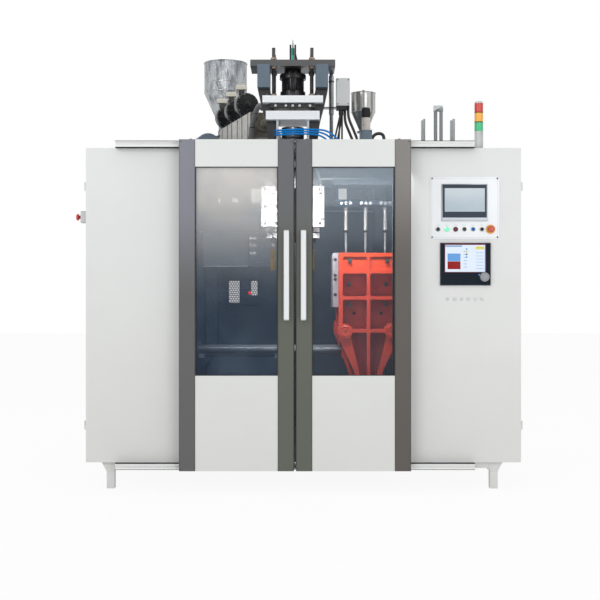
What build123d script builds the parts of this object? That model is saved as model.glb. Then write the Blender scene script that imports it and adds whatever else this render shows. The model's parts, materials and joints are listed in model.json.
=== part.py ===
from build123d import *
import math
import os

# Blow moulding machine. Millimetres, +Z up, front towards -Y.
# Lengths are measured from the gap between the sliding doors (X), the cabinet fronts (Y) and the floor (Z).

# Cabinets
left_cabinet_width = 576.0
right_cabinet_width = 678.0
cabinet_depth = 1900.0
cabinet_bottom = 165.0
cabinet_height = 1917.0
wall = 20.0
service_width = 894.0
service_margin = 38.0
service_setback = 30.0
service_gap = 3.0
skin = 3.0
pull_height = 140.0
pull_width = 30.0
pull_depth = 1.5

# Service door hinges
hinge_radius = 7.0
hinge_pin_radius = 3.0
hinge_height = 52.0
hinge_leaf = 6.0
hinge_reach = 28.0
hinge_stand_off = 8.5
hinge_from_bottom = 225.0
hinge_from_top = 232.0
hinge_gap = 0.2
hinge_seam = 2.0
hinge_web = 5.0

# Base frame and feet
beam = 50.0
side_beam_height = 60.0
front_beam_height = 40.0
cross_beam = 80.0
beam_setback = 35.0
foot_width = 48.0
foot_flare = 31.0
left_foot_inset = 145.0
right_foot_inset = 160.0
inner_foot_inset = 100.0

# Frame of the mould bay
column = 90.0
column_front_y = 60.0
column_inset = 5.0
top_beam = 60.0
guide_beam = 50.0
guide_beam_height = 90.0
guide_block_height = 80.0
deck_plate = 12.0
deck_left_inset = 280.0
deck_front_margin = 260.0
deck_back_margin = 420.0
platform_depth = 650.0
platform_overhang = 340.0
platform_width = 660.0
rear_post = 80.0
platform_lip = 30.0
guard_drop = 167.0
guard_thickness = 15.0
guard_lip = 25.0
vent_width = 230.0
vent_height = 180.0
vent_inset = 288.0
vent_height_up = 1055.0

# Door rails
rail_overhang = 389.0
rail_front_y = -50.0
rail_width = 40.0
top_rail_height = 36.0
bottom_rail_height = 38.0
rail_flange = 6.0
top_rail_flange_depth = 50.0
bottom_rail_flange_depth = 44.0
rail_groove = 14.0
rail_groove_depth = 16.0

# Sliding doors
door_gap = 13.0
door_lap = 38.0
door_end_gap = 10.0
door_front_y = -105.0
door_thickness = 45.0
stile_width = 97.0
top_panel_height = 164.0
bottom_panel_height = 573.0
panel_recess = 3.0
door_rail_height = 60.0
door_rail_depth = 25.0
pane_thickness = 6.0
pane_setback = 20.0
runner_length = 100.0
runner_clearance = 0.3
runner_outer_inset = 250.0
runner_inner_inset = 100.0

# Door handles
handle_width = 32.0
handle_length = 538.0
handle_above_foot = 907.0
handle_thickness = 12.0
handle_reach = 50.0
handle_post = 30.0
handle_from_middle = 51.0

# Operator panel
plate_inset = 123.0
plate_drop = 175.0
plate_width = 422.0
plate_height = 381.0
plate_thickness = 4.0
plate_corner = 14.0
touch_inset = 70.0
touch_rise = 114.0
touch_width = 278.0
touch_height = 221.0
touch_depth = 12.0
control_inset = 61.0
control_gap = 23.0
control_width = 307.0
control_height = 259.0
control_depth = 14.0
screen_thickness = 1.5
touch_screen_side = 17.5
touch_screen_low = 55.0
touch_screen_top = 26.0
control_screen_side = 30.5
control_screen_low = 82.0
control_screen_top = 10.0
dial_inset = 39.0
dial_rise = 51.0
dial_radius = 28.0
dial_depth = 22.0
button_rise = 60.0
button_inset = 48.0
button_pitch = 53.5
bezel_radius = 14.5
bezel_depth = 6.0
bezel_edge = 3.0
cap_radius = 10.5
lens_proud = 5.0
cap_proud = 2.0
cap_clearance = 0.5
key_grip = (4.0, 14.0, 14.0)
selector_grip = (7.0, 20.0, 10.0)
stop_inset = 54.0
stop_ring_radius = 27.5
stop_ring_depth = 8.0
stop_radius = 20.0
stop_stem = 11.0
stop_height = 36.0
stop_head = 14.0
stop_round = 6.0
push_travel = 4.0
seat_gap = 0.3
stop_travel = 4.0
dome_radius = 6.0
dome_pitch = 42.2
dome_count = 6
dome_inset = 46.5
dome_drop = 84.0

# Emergency stop box on the left service door
stop_box = 72.0
stop_box_depth = 42.0
stop_box_inset = 56.0
stop_box_drop = 416.0

# Signal tower
tower_light_inset = 430.0
tower_light_y = 60.0
tower_light_radius = 26.5
tower_light_stem = 109.0
lens_height = 54.0
lens_ring = 5.0
light_cap = 13.0

# Dies under the head tower
head_x = -18.0
head_y = 680.0
head_block_width = 300.0
head_block_depth = 160.0
head_block_height = 68.0
head_radius = 72.0
head_rise = 160.0
manifold_depth = 120.0
manifold_height = 150.0
manifold_drop = 32.0
manifold_margin = 58.0
die_pitch = 132.0
die_radius = 45.0
die_length = 300.0
nozzle_radius = 30.0
nozzle_height = 60.0
guard_plate_width = 124.0
guard_plate_outer = 208.0
guard_plate_height = 269.0
guard_plate_rise = 9.0
guard_plate_reach = 60.0
guard_lug = 40.0
guard_lug_height = 9.0
guard_plate_thickness = 6.0

# Head tower
leg_shares = (0.0, 0.467, 0.754, 1.0)
leg_outer_halves = (158.0, 181.0, 212.0, 234.0)
leg_inner_halves = (80.0, 112.0, 128.0, 153.0)
leg_block_height = 141.0
leg_block_overlap = 12.0
leg_block_proud = 8.0
top_plate_width = 562.0
top_plate_depth = 254.0
top_plate_thickness = 42.0
stay_radius = 11.5
stay_offset_x = 126.6
stay_offset_y = 105.0
stay_above = 81.0
stay_clearance = 0.5
nut_width = 34.0
nut_height = 16.0
crosshead_rise = 34.0
crosshead_thickness = 58.0
crosshead_width = 355.0
crosshead_body = 200.0
crosshead_gap = 1.0
upper_plate_rise = 55.0
upper_plate_thickness = 46.0
upper_plate_width = 400.0
upper_plate_body = 246.0
cross_plate_depth = 300.0
pull_rod_radius = 8.0
pull_rod_offset = 101.0
pull_rod_y = 560.0
running_gap = 0.05
cylinder_radius = 77.0
cylinder_flange_radius = 88.0
cylinder_foot_radius = 84.0
cylinder_neck_radius = 56.0
cylinder_rib_depth = 7.0
cylinder_foot = 47.0
cylinder_height = 132.0
cylinder_flange = 31.0
cylinder_neck = 36.0
cylinder_ribs = 8
piston_rod_radius = 20.0
piston_rod_rise = 173.0
piston_room = 37.0
sensor_foot = 70.0
sensor_foot_thickness = 10.0
sensor_height = 162.0
sensor_fin_height = 124.0
sensor_fin_gap = 20.0
sensor_fin_width = 12.0
sensor_radius = 5.0
bright_column_offset = 262.0
bright_column_back = 110.0
bright_column_radius = 12.7

# Main extruder
barrel_angle = 18.55
throat_inset = 127.0
throat_behind = 284.0
barrel_rise = 333.0
barrel_radius = 50.0
zone_width = 180.0
zone_length = 282.0
zone_pitch = 290.0
zone_first = 180.0
zone_count = 3
barrel_beyond = 30.0
feed_block_half = 62.0
blower_radius = 86.0
blower_length = 90.0
blower_rise = 184.0
blower_offset = 46.0
blower_inset = 20.0
blower_neck = 50.0
hopper_radius = 172.0
hopper_wall = 5.0
hopper_rim = 12.0
hopper_lip = 6.0
hopper_neck = 96.0
hopper_cone = 253.0
hopper_cylinder = 245.0
hopper_throat_radius = 56.0
motor_radius = 95.0
motor_length = 400.0
motor_offset = 262.0
motor_front = 493.0
motor_rise = 247.0
coupling_radius = 40.0
gear_case_back = 110.0
gear_case_length = 200.0
gear_case_half = 130.0
gear_case_rise = 370.0
gear_case_round = 25.0
skid_height = 78.0
skid_beam = 60.0
skid_front = 760.0
skid_middle = 300.0
skid_inset = 40.0
pedestal_half = 50.0
adapter_radius = 32.0
adapter_knee = 145.0
adapter_side = 95.0
adapter_behind = 190.0
adapter_drop = 80.0
adapter_inset = 12.0
adapter_bends = (70.0, 60.0)

# Small extruder
small_offset = 505.0
small_behind = 220.0
small_case = 81.0
small_case_height = 246.0
small_case_edge = 6.0
small_gear_radius = 30.0
small_gear_height = 88.0
small_motor_radius = 27.5
small_motor_height = 68.0
small_barrel_radius = 28.0
small_barrel_rise = 118.0
small_barrel_end = 160.0
small_barrel_skew = 20.0
small_adapter_radius = 15.0
small_hopper_behind = 150.0
small_hopper_aside = 10.0
small_hopper_radius = 85.5
small_hopper_cylinder = 138.0
small_hopper_cone = 129.0
small_hopper_neck = 107.0
small_throat_radius = 25.0
small_block_half = 38.0
small_wall = 3.0
lid_thickness = 8.0

# Junction box and services
box_offset = 289.0
box_width = 91.0
box_drop = 6.0
box_height = 185.0
box_reach = 60.0
box_depth = 60.0
gland_plate = 26.0
gland_plate_short = 19.0
gland_x = 34.0
gland_radius = 16.0
gland_length = 34.0
arm_width = 8.0
arm_height = 6.0
conduit_radius = 9.0
conduit_sideways = 70.0
conduit_second = 31.0
conduit_behind = 24.0
conduit_levels = (0.2, 0.65)
cable_radius = 6.0
cable_spread = (-55.0, -85.0, -25.0, 5.0)
hose_radius = 6.0
hose_drop = 44.0
hose_step = 15.0
hose_count = 3
hose_post_offset = 120.0
hose_post = 12.0
hose_front = 180.0
hose_end_offset = 270.0
hose_spacing = 22.0
hose_arch = 10.0
hose_arch_share = 0.4
hose_bend = 84.0
hose_fall = 72.0
hose_sag = 3.0
hose_arm = 19.0
black_hose_radius = 11.0
black_hose_rise = 226.0
black_hose_route = ((-8.0, 0.0, -46.0), (24.0, 0.0, 0.0), (78.0, -2.0, 0.0), (90.0, -5.0, -72.0),
                    (94.0, -7.0, -148.0))

# Mould clamp
carriage_stroke = 488.0
mould_side = 94.0
mould_height = 355.0
mould_half_depth = 185.0
mould_parting = 0.2
die_to_mould = 77.0
cavity_radius = 38.0
cavity_height = 225.0
cavity_shoulder = 45.0
cavity_neck = 30.0
neck_radius = 12.0
platen_step = 37.0
platen_depth = 150.0
platen_back = 28.0
platen_top_step = 5.0
platen_top_pocket = 25.0
platen_edge_rib = 24.0
platen_rib = 22.0
platen_upper_rib = 122.0
platen_top_depth = 12.0
platen_corner = 12.0
platen_lower_rib = 212.0
boss_radius = 47.0
boss_proud = 15.0
boss_ring_radius = 29.0
boss_ring_width = 4.0
boss_ring_depth = 2.0
tie_radius = 25.0
tie_step = 40.0
tie_rise = 131.0
tie_socket = 10.0
tie_beyond = 45.0
tie_nut_width = 76.0
tie_nut_height = 32.0
lower_tie_share = 0.667
toe_half = 50.0
yoke_gap = 320.0
yoke_thickness = 60.0
yoke_edge = 45.0
clamp_bore_radius = 52.0
clamp_body_radius = 70.0
clamp_body_length = 385.0
clamp_body_end = 20.0
clamp_rod_radius = 35.0
clamp_rod_rise = 55.0
clamp_rod_engaged = 45.0

# Carriage
bay_clearance = 4.0
guide_radius = 25.0
guide_below_mould = 283.0
guide_half_spacing = 120.0
carriage_step = 24.0
carriage_below = 50.0
bridge_above = 55.0
bridge_thickness = 40.0
cheek_above = 175.0
cheek_half_thickness = 45.0
lower_leg_half = 55.0
lower_leg_below = 45.0
shuttle_radius = 32.0
shuttle_cap_half = 38.0
shuttle_cap_length = 30.0
shuttle_inset = 60.0
shuttle_end_wall = 12.0
shuttle_engaged = 15.0
shuttle_spare = 15.0
shuttle_rod_radius = 12.0
shuttle_below = 20.0
lug_offset = 75.0
lug_thickness = 20.0
lug_half = 30.0

# Blow pins
carrier_height = 47.0
carrier_margin = 73.0
carrier_depth = 80.0
carrier_below_bracket = 145.0
pin_upper_radius = 10.5
pin_lower_radius = 7.5
pin_tip_radius = 5.0
pin_tip_height = 30.0
pin_clearance = 3.0
collar_radius = 13.0
collar_rise = 147.0
collar_height = 12.0
pin_guide_radius = 10.0
pin_guide_margin = 63.0
pin_guide_engaged = 22.0
bracket_drop = 157.0
bracket_height = 40.0
bracket_margin = 83.0
bracket_depth = 120.0
bracket_arm = 20.0
blow_cylinder_radius = 30.0
blow_rod_reach = 60.0
running_room = 5.0

# Lift above the right cabinet: inset, distance behind the head's front, radius and height above the cabinet
lift_rods = ((153.0, 10.0, 8.0, 282.0), (171.0, 60.0, 8.0, 300.0), (244.0, 20.0, 12.0, 344.0),
             (281.0, 20.0, 12.0, 344.0), (349.0, 10.0, 9.0, 282.0), (371.0, 60.0, 9.0, 300.0))
lift_plate_drop = 382.0
lift_plate_height = 30.0
lift_plate_margin = 25.0
lift_cap_height = 38.0
lift_cap_margin = 13.0

# Equipment inside the cabinets
tank_margin = 60.0
tank_front_y = 200.0
tank_length = 700.0
tank_height = 420.0
pump_radius = 110.0
pump_length = 400.0
pump_half = 60.0
board_front_y = 120.0
board_length = 500.0
board_thickness = 6.0
board_bottom = 215.0
board_height = 1100.0
device_depth = 70.0
device_height = 110.0
device_pitch = 240.0
device_rows = 4
device_margin = 40.0

# Heights that follow
cabinet_top = cabinet_bottom + cabinet_height
door_bottom = cabinet_bottom - door_lap
door_top = cabinet_top + door_lap
window_bottom = door_bottom + bottom_panel_height
window_top = door_top - top_panel_height
handle_bottom = door_bottom + handle_above_foot
groove_top_z = cabinet_top + top_rail_height / 2
groove_bottom_z = cabinet_bottom - bottom_rail_height / 2
hinge_heights = (cabinet_bottom + hinge_from_bottom, cabinet_top - hinge_from_top)
manifold_top = cabinet_top - manifold_drop
manifold_bottom = manifold_top - manifold_height
die_bottom = manifold_bottom - die_length
mould_top = die_bottom - nozzle_height - die_to_mould
mould_bottom = mould_top - mould_height
guide_z = mould_bottom - guide_below_mould
guide_beam_top = guide_z - guide_block_height / 2
bridge_bottom = guide_z + bridge_above
tie_z = guide_z + tie_rise
lower_tie_z = guide_z * lower_tie_share
clamp_rod_z = guide_z + clamp_rod_rise
shuttle_z = guide_z - shuttle_below
platen_top = mould_top - platen_top_step
bracket_bottom = cabinet_top - bracket_drop
carrier_bottom = bracket_bottom - carrier_below_bracket
leg_bottom = cabinet_top + head_block_height
head_top = leg_bottom + head_rise
crosshead_bottom = head_top + crosshead_rise
upper_plate_bottom = crosshead_bottom + crosshead_thickness + upper_plate_rise
upper_plate_top = upper_plate_bottom + upper_plate_thickness
cylinder_body_top = upper_plate_top + cylinder_height
top_plate_bottom = cylinder_body_top + cylinder_flange + cylinder_neck
top_plate_top = top_plate_bottom + top_plate_thickness
leg_top = top_plate_bottom - leg_block_height
box_bottom = upper_plate_bottom - box_drop
barrel_z = cabinet_top + barrel_rise
hopper_throat_z = barrel_z + feed_block_half + hopper_neck
hopper_top = hopper_throat_z + hopper_cone + hopper_cylinder
motor_z = cabinet_top + motor_rise
small_case_top = cabinet_top + small_case_height
small_barrel_z = cabinet_top + small_barrel_rise
small_block_top = small_barrel_z + small_case / 2

# Places that follow
blow_x = head_x + carriage_stroke
mould_half_width = die_pitch + mould_side
bay_half = blow_x + mould_half_width + bay_clearance
bay_side = bay_half - column_inset
left_side_x = -bay_half - left_cabinet_width
right_side_x = bay_half + right_cabinet_width
left_foot_x = left_side_x + left_foot_inset
right_foot_x = right_side_x - right_foot_inset
inner_foot_x = bay_half - inner_foot_inset
door_width = bay_half - door_end_gap
door_back_y = door_front_y + door_thickness
column_back_y = cabinet_depth - column_front_y - column
rear_platform_back = cabinet_depth + platform_depth
platen_half = mould_half_width - platen_step
tie_offset = platen_half - tie_step
carriage_half = platen_half - carriage_step
pin_guide_offset = die_pitch + pin_guide_margin
front_mould_y = head_y - mould_half_depth
back_mould_y = head_y + mould_half_depth
platen_front_y = front_mould_y - platen_depth
yoke_y = back_mould_y + platen_depth + yoke_gap
guide_front_y = head_y - guide_half_spacing
guide_back_y = head_y + guide_half_spacing
plate_left = bay_half + plate_inset
plate_bottom = cabinet_top - plate_drop - plate_height
touch_left = plate_left + touch_inset
touch_bottom = plate_bottom + touch_rise
control_left = plate_left + control_inset
control_bottom = plate_bottom - control_gap - control_height
button_row_z = plate_bottom + button_rise
stop_x = plate_left + plate_width - stop_inset
stop_box_y = service_setback + stop_box_inset
stop_box_z = cabinet_top - stop_box_drop
tower_light_x = bay_half + tower_light_inset
throat_x = -bay_half + throat_inset
throat_y = cabinet_depth + throat_behind
small_x = head_x + small_offset
small_y = head_y + small_behind
small_hopper_x = small_x - small_hopper_aside
small_hopper_y = small_y + small_hopper_behind
box_left = head_x + box_offset
box_front_y = head_y - box_reach
barrel_u = (-math.sin(math.radians(barrel_angle)), math.cos(math.radians(barrel_angle)))
barrel_n = (-math.cos(math.radians(barrel_angle)), -math.sin(math.radians(barrel_angle)))
front_most = door_front_y - handle_reach
middle_y = (front_most + rear_platform_back) / 2
rear_platform_left = -bay_half - platform_overhang
rear_platform_right = rear_platform_left + platform_width
deck_left = -bay_half + deck_left_inset
deck_front_y = head_y - deck_front_margin
deck_back_y = head_y + deck_back_margin
middle_foot_y = cabinet_depth / 2
guard_top = cabinet_top - guard_drop
vent_x = -bay_half + vent_inset
vent_z = cabinet_bottom + vent_height_up
manifold_width = 2 * (die_pitch + manifold_margin)
gear_case_left = motor_offset + motor_radius + skid_inset / 2
gear_case_top = cabinet_top + gear_case_rise
shuttle_left = -bay_half + shuttle_inset
shuttle_body_length = carriage_stroke + shuttle_end_wall + shuttle_engaged + shuttle_spare
lug_x = blow_x - lug_offset
barrel_front = -zone_first - zone_count * zone_pitch - barrel_beyond


def span(x, y, z):
    """Box between two limits on each axis."""
    size = (x[1] - x[0], y[1] - y[0], z[1] - z[0])
    middle = ((x[0] + x[1]) / 2, (y[0] + y[1]) / 2, (z[0] + z[1]) / 2)
    return Pos(*middle) * Box(*size)


def rod(start, end, radius):
    """Round bar between two points."""
    line = Vector(*end) - Vector(*start)
    return Plane(origin=start, z_dir=line) * Cylinder(radius, line.length,
                                                      align=(Align.CENTER, Align.CENTER, Align.MIN))


def front_disc(x, y, z, radius, depth):
    """Round bar whose axis runs front to back, starting at y and going back by depth."""
    return rod((x, y, z), (x, y + depth, z), radius)


def outline_x(points, x):
    """Outline given in Y and Z, carried along X between two limits."""
    face = Plane.YZ.offset(x[0]) * make_face(Polyline(*points, close=True))
    return extrude(face, x[1] - x[0])


def outline_y(points, y):
    """Outline given in X and Z, carried along Y between two limits."""
    plane = Plane(origin=(0, y[0], 0), x_dir=(1, 0, 0), z_dir=(0, -1, 0))
    face = plane * make_face(Polyline(*points, close=True))
    return extrude(face, -(y[1] - y[0]))


def fused(parts):
    """One solid from overlapping or touching pieces."""
    whole = parts[0]
    for piece in parts[1:]:
        whole = whole + piece
    return whole


def apart(parts):
    """Separate solids that share a node."""
    solids = []
    for piece in parts:
        solids.extend(piece.solids())
    return Compound(children=solids)


def mirrored(shape):
    """The same shape on the other side of the door gap."""
    return mirror(shape, about=Plane.YZ)


def hex_nut(x, y, z, width, height):
    """Hexagon nut with its lower face at z."""
    face = Pos(x, y, z) * RegularPolygon(width / 2, 6, major_radius=False)
    return extrude(face, height)


def tube_path(points, radii, radius):
    """Tube along straight runs joined by tangent arcs."""
    path = FilletPolyline(*points, radius=radii) if len(points) > 2 else Line(*points)
    start = Plane(origin=path @ 0, z_dir=path % 0)
    return sweep(start * Circle(radius), path=path)


def bend_radii(points):
    """Largest even arcs for a route: 0.45 of the shorter run over the tangent of half the turn."""
    radii = []
    for before, here, after in zip(points, points[1:], points[2:]):
        run_in = Vector(*here) - Vector(*before)
        run_out = Vector(*after) - Vector(*here)
        turn = math.radians(run_in.get_angle(run_out))
        radii.append(0.45 * min(run_in.length, run_out.length) / math.tan(turn / 2))
    return radii


def barrel_point(along, across=0.0, z=barrel_z):
    """Point on the extruder: along runs from the throat to the rear, across runs to the left."""
    x = throat_x + along * barrel_u[0] + across * barrel_n[0]
    y = throat_y + along * barrel_u[1] + across * barrel_n[1]
    return (x, y, z)


def barrel_block(along, across, z):
    """Box square to the extruder's axis."""
    block = span((-across[1], -across[0]), (along[0], along[1]), z)
    return Pos(throat_x, throat_y, 0) * Rot(0, 0, barrel_angle) * block


def base_frame():
    """Welded beams under the cabinets, with flared feet."""
    depth = (beam_setback, cabinet_depth - beam_setback)
    half = beam / 2
    left = (left_foot_x - half, left_foot_x + half)
    right = (right_foot_x - half, right_foot_x + half)
    top = cabinet_bottom
    beams = [
        span(left, depth, (top - side_beam_height, top)),
        span(right, depth, (top - side_beam_height, top)),
        span((left[1], right[0]), (depth[0], depth[0] + beam), (top - front_beam_height, top)),
        span((left[1], right[0]), (middle_foot_y - half, middle_foot_y + half), (top - cross_beam, top)),
        span((left[1], right[0]), (depth[1] - beam, depth[1]), (top - cross_beam, top)),
    ]
    for side in (-1, 1):
        x = (side * inner_foot_x - half, side * inner_foot_x + half)
        beams.append(span(x, (depth[0] + beam, middle_foot_y - half), (top - side_beam_height, top)))
        beams.append(span(x, (middle_foot_y + half, depth[1] - beam), (top - side_beam_height, top)))
    outline = [(-foot_width / 2, 0), (foot_width / 2, 0), (foot_width / 2, top - side_beam_height)]
    outline += [(half + foot_flare, top - 1), (-half - foot_flare, top - 1),
                (-foot_width / 2, top - side_beam_height)]
    feet = []
    for x, y, height in (
        (left_foot_x, depth[0], side_beam_height),
        (right_foot_x, depth[0], side_beam_height),
        (left_foot_x, depth[1] - foot_width, side_beam_height),
        (right_foot_x, depth[1] - foot_width, side_beam_height),
    ):
        foot = outline_y([(x + px, pz) for px, pz in outline], (y, y + foot_width))
        foot = foot - span((x - half, x + half), (y - 1, y + foot_width + 1), (top - height, top))
        inner = (x + half, x + 2 * beam) if x < 0 else (x - 2 * beam, x - half)
        foot = foot - span(inner, (depth[0] - 1, depth[0] + beam), (top - front_beam_height, top + 1))
        foot = foot - span(inner, (depth[1] - beam, depth[1] + 1), (top - cross_beam, top + 1))
        feet.append(foot)
    for x in (-inner_foot_x, inner_foot_x):
        for y in (middle_foot_y - foot_width / 2, depth[1] - (beam + foot_width) / 2):
            feet.append(span((x - foot_width / 2, x + foot_width / 2), (y, y + foot_width),
                             (0, top - cross_beam)))
    return apart(beams + feet)


def upper_frame():
    """Columns, top beams, guide beams, head deck and the rear platform of the extruder."""
    x_out = bay_side
    x_in = x_out - column
    front = (column_front_y, column_front_y + column)
    back = (column_back_y, column_back_y + column)
    top = (cabinet_top - top_beam, cabinet_top)
    pieces = []
    for side in (-1, 1):
        x = tuple(sorted((side * x_in, side * x_out)))
        guide_x = tuple(sorted((side * (x_out - guide_beam), side * x_out)))
        pieces.append(span(x, front, (cabinet_bottom, top[0])))
        pieces.append(span(x, back, (cabinet_bottom, top[0])))
        pieces.append(span(x, (0.0, cabinet_depth), top))
        pieces.append(span(guide_x, (front[1], back[0]),
                           (guide_beam_top - guide_beam_height, guide_beam_top)))
        for y in (guide_front_y, guide_back_y):
            block = span(guide_x, (y - beam, y + beam),
                         (guide_beam_top, guide_beam_top + guide_block_height))
            pieces.append(block - rod((-bay_half, y, guide_z), (bay_half, y, guide_z),
                                      guide_radius + running_gap))
    pieces.append(span((-x_in, x_in), front, top))
    pieces.append(span((-x_in, x_in), back, top))
    joist = (cabinet_top - top_beam, cabinet_top - deck_plate)
    pieces.append(span((-x_in, x_in), (deck_front_y, deck_front_y + top_beam), joist))
    pieces.append(span((-x_in, x_in), (deck_back_y - top_beam, deck_back_y), joist))
    deck = span((deck_left, x_in), (deck_front_y, deck_back_y), (cabinet_top - deck_plate, cabinet_top))
    deck = deck - Pos(head_x, head_y, cabinet_top) * Cylinder(head_radius + 8, 4 * deck_plate)
    for side in (-1, 1):
        place = Pos(head_x + side * pull_rod_offset, pull_rod_y, cabinet_top)
        deck = deck - place * Cylinder(pull_rod_radius + running_gap, 4 * deck_plate)
    pieces.append(deck)
    post_y = (rear_platform_back - platform_lip - rear_post, rear_platform_back - platform_lip)
    under = (cabinet_top - deck_plate - top_beam, cabinet_top - deck_plate)
    post_x = (rear_platform_left, rear_platform_right - rear_post)
    for x in post_x:
        pieces.append(span((x, x + rear_post), post_y, (0, under[0])))
        pieces.append(span((x, x + rear_post), (cabinet_depth, post_y[1]), under))
    pieces.append(span((post_x[0] + rear_post, post_x[1]), post_y, under))
    platform = span((rear_platform_left, rear_platform_right), (cabinet_depth, rear_platform_back),
                    (under[1], cabinet_top))
    pieces.append(platform)
    return apart(pieces)


def rear_guard():
    """Sheet behind the mould bay with an opening for its perforated field."""
    front = cabinet_depth - column_front_y
    y = (front, front + guard_thickness)
    x = (-bay_side, bay_side)
    sheet = span(x, y, (cabinet_bottom, guard_top))
    vent_x_limits = (vent_x - vent_width / 2, vent_x + vent_width / 2)
    sheet = sheet - span(vent_x_limits, (y[0] - 1, y[1] + 1),
                         (vent_z - vent_height / 2, vent_z + vent_height / 2))
    return sheet + span(x, (y[1], y[1] + guard_lip), (guard_top - guard_lip, guard_top))


def door_rails():
    """Grooved rails above and below the sliding doors, each with a fixing flange."""
    front, back = rail_front_y, rail_front_y + rail_width
    half = rail_groove / 2
    depth = front + rail_groove_depth
    top = cabinet_top + top_rail_height
    upper = [(front, cabinet_top), (back + top_rail_flange_depth, cabinet_top)]
    upper += [(back + top_rail_flange_depth, cabinet_top + rail_flange), (back, cabinet_top + rail_flange),
              (back, top)]
    upper += [(front, top), (front, groove_top_z + half), (depth, groove_top_z + half)]
    upper += [(depth, groove_top_z - half), (front, groove_top_z - half)]
    bottom = cabinet_bottom - bottom_rail_height
    lower = [(front, bottom), (back, bottom), (back, cabinet_bottom - rail_flange)]
    lower += [(back + bottom_rail_flange_depth, cabinet_bottom - rail_flange)]
    lower += [(back + bottom_rail_flange_depth, cabinet_bottom), (front, cabinet_bottom)]
    lower += [(front, groove_bottom_z + half), (depth, groove_bottom_z + half)]
    lower += [(depth, groove_bottom_z - half), (front, groove_bottom_z - half)]
    length = (-bay_half - rail_overhang, bay_half + rail_overhang)
    return apart([outline_x(upper, length), outline_x(lower, length)])


def service_opening(side_x, inward):
    """Limits of the side opening: X through the wall, Y and Z."""
    x = tuple(sorted((side_x - inward, side_x + inward * (wall + 1))))
    y = (service_setback, service_setback + service_width + 2 * service_gap)
    margin = service_margin - service_gap
    return x, y, (cabinet_bottom + margin, cabinet_top - margin)


def hinge_half(side_x, inward, z_low, z_high, back, pin):
    """Half of a barrel hinge: its knuckle and its leaf, towards the back for the door half."""
    axis_x = side_x - inward * hinge_stand_off
    axis_y = service_setback + service_gap / 2
    reach = hinge_reach if back else -hinge_reach
    leaf_x = tuple(sorted((side_x, side_x - inward * hinge_leaf)))
    side = 1 if back else -1
    leaf_y = tuple(sorted((axis_y + side * hinge_seam, axis_y + reach)))
    knuckle = rod((axis_x, axis_y, z_low), (axis_x, axis_y, z_high), hinge_radius)
    web_x = tuple(sorted((side_x, axis_x)))
    web_y = tuple(sorted((axis_y + side * hinge_seam, axis_y + side * hinge_web)))
    half = knuckle + span(leaf_x, leaf_y, (z_low, z_high)) + span(web_x, web_y, (z_low, z_high))
    if pin:
        return half
    return half - rod((axis_x, axis_y, z_low - 1), (axis_x, axis_y, z_high + 1),
                      hinge_pin_radius + running_gap)


def cabinet(side_x, inner_x):
    """Sheet cabinet with a side opening, and the fixed halves of its hinges."""
    x = tuple(sorted((side_x, inner_x)))
    inward = 1 if inner_x > side_x else -1
    shell = span(x, (0, cabinet_depth), (cabinet_bottom, cabinet_top))
    hollow = (wall, cabinet_depth - wall)
    shell = shell - span((x[0] + wall, x[1] - wall), hollow, (cabinet_bottom + wall, cabinet_top - wall))
    shell = shell - span(*service_opening(side_x, inward))
    axis_x = side_x - inward * hinge_stand_off
    axis_y = service_setback + service_gap / 2
    for z in hinge_heights:
        shell = shell + hinge_half(side_x, inward, z - hinge_height / 2, z - hinge_gap, False, True)
        shell = shell + rod((axis_x, axis_y, z - 1), (axis_x, axis_y, z + hinge_height / 2),
                            hinge_pin_radius)
    return shell


def right_cabinet():
    """Right cabinet, its top bored for the lift rods."""
    shell = cabinet(right_side_x, bay_half)
    for x, y, radius, top in lift_places():
        shell = shell - rod((x, y, cabinet_top - 2 * wall), (x, y, cabinet_top + 1), radius + running_gap)
    return shell


def service_door(side_x, inward):
    """Flush side door with a folded inner rim and the moving halves of its hinges."""
    x, y, z = service_opening(side_x, inward)
    x = tuple(sorted((side_x, side_x + inward * wall)))
    y = (y[0] + service_gap, y[1] - service_gap)
    z = (z[0] + service_gap, z[1] - service_gap)
    leaf = span(x, y, z)
    hollow_x = tuple(sorted((side_x + inward * skin, side_x + inward * (wall + 1))))
    leaf = leaf - span(hollow_x, (y[0] + wall, y[1] - wall), (z[0] + wall, z[1] - wall))
    recess_x = tuple(sorted((side_x - inward, side_x + inward * pull_depth)))
    middle = (z[0] + z[1]) / 2
    recess_z = (middle - pull_height / 2, middle + pull_height / 2)
    leaf = leaf - span(recess_x, (y[1] - 2 * pull_width, y[1] - pull_width), recess_z)
    for height in hinge_heights:
        leaf = leaf + hinge_half(side_x, inward, height + hinge_gap, height + hinge_height / 2, True, False)
    return leaf


def door_frame():
    """Left sliding door: two stiles, cross rails and the runners that ride in the rail grooves."""
    inner_x = -door_gap / 2
    outer_x = inner_x - door_width
    y = (door_front_y, door_back_y)
    z = (door_bottom, door_top)
    parts = [span((outer_x, outer_x + stile_width), y, z), span((inner_x - stile_width, inner_x), y, z)]
    rail_x = (outer_x + stile_width, inner_x - stile_width)
    rail_y = (door_back_y - door_rail_depth, door_back_y)
    for low in (door_bottom, window_bottom - door_rail_height, window_top, door_top - door_rail_height):
        parts.append(span(rail_x, rail_y, (low, low + door_rail_height)))
    tongue = rail_groove / 2 - runner_clearance
    for place in (runner_outer_inset, door_width - runner_inner_inset):
        for middle in (groove_top_z, groove_bottom_z):
            x = (outer_x + place - runner_length / 2, outer_x + place + runner_length / 2)
            reach = (door_back_y, rail_front_y + rail_groove_depth - runner_clearance)
            parts.append(span(x, reach, (middle - tongue, middle + tongue)))
    return apart(parts)


def door_panels():
    """White sheets above and below the window of the left sliding door."""
    x = (-door_gap / 2 - door_width + stile_width, -door_gap / 2 - stile_width)
    y = (door_front_y + panel_recess, door_back_y - door_rail_depth)
    upper = span(x, y, (window_top, door_top))
    lower = span(x, y, (door_bottom, window_bottom))
    return apart([upper, lower])


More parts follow.
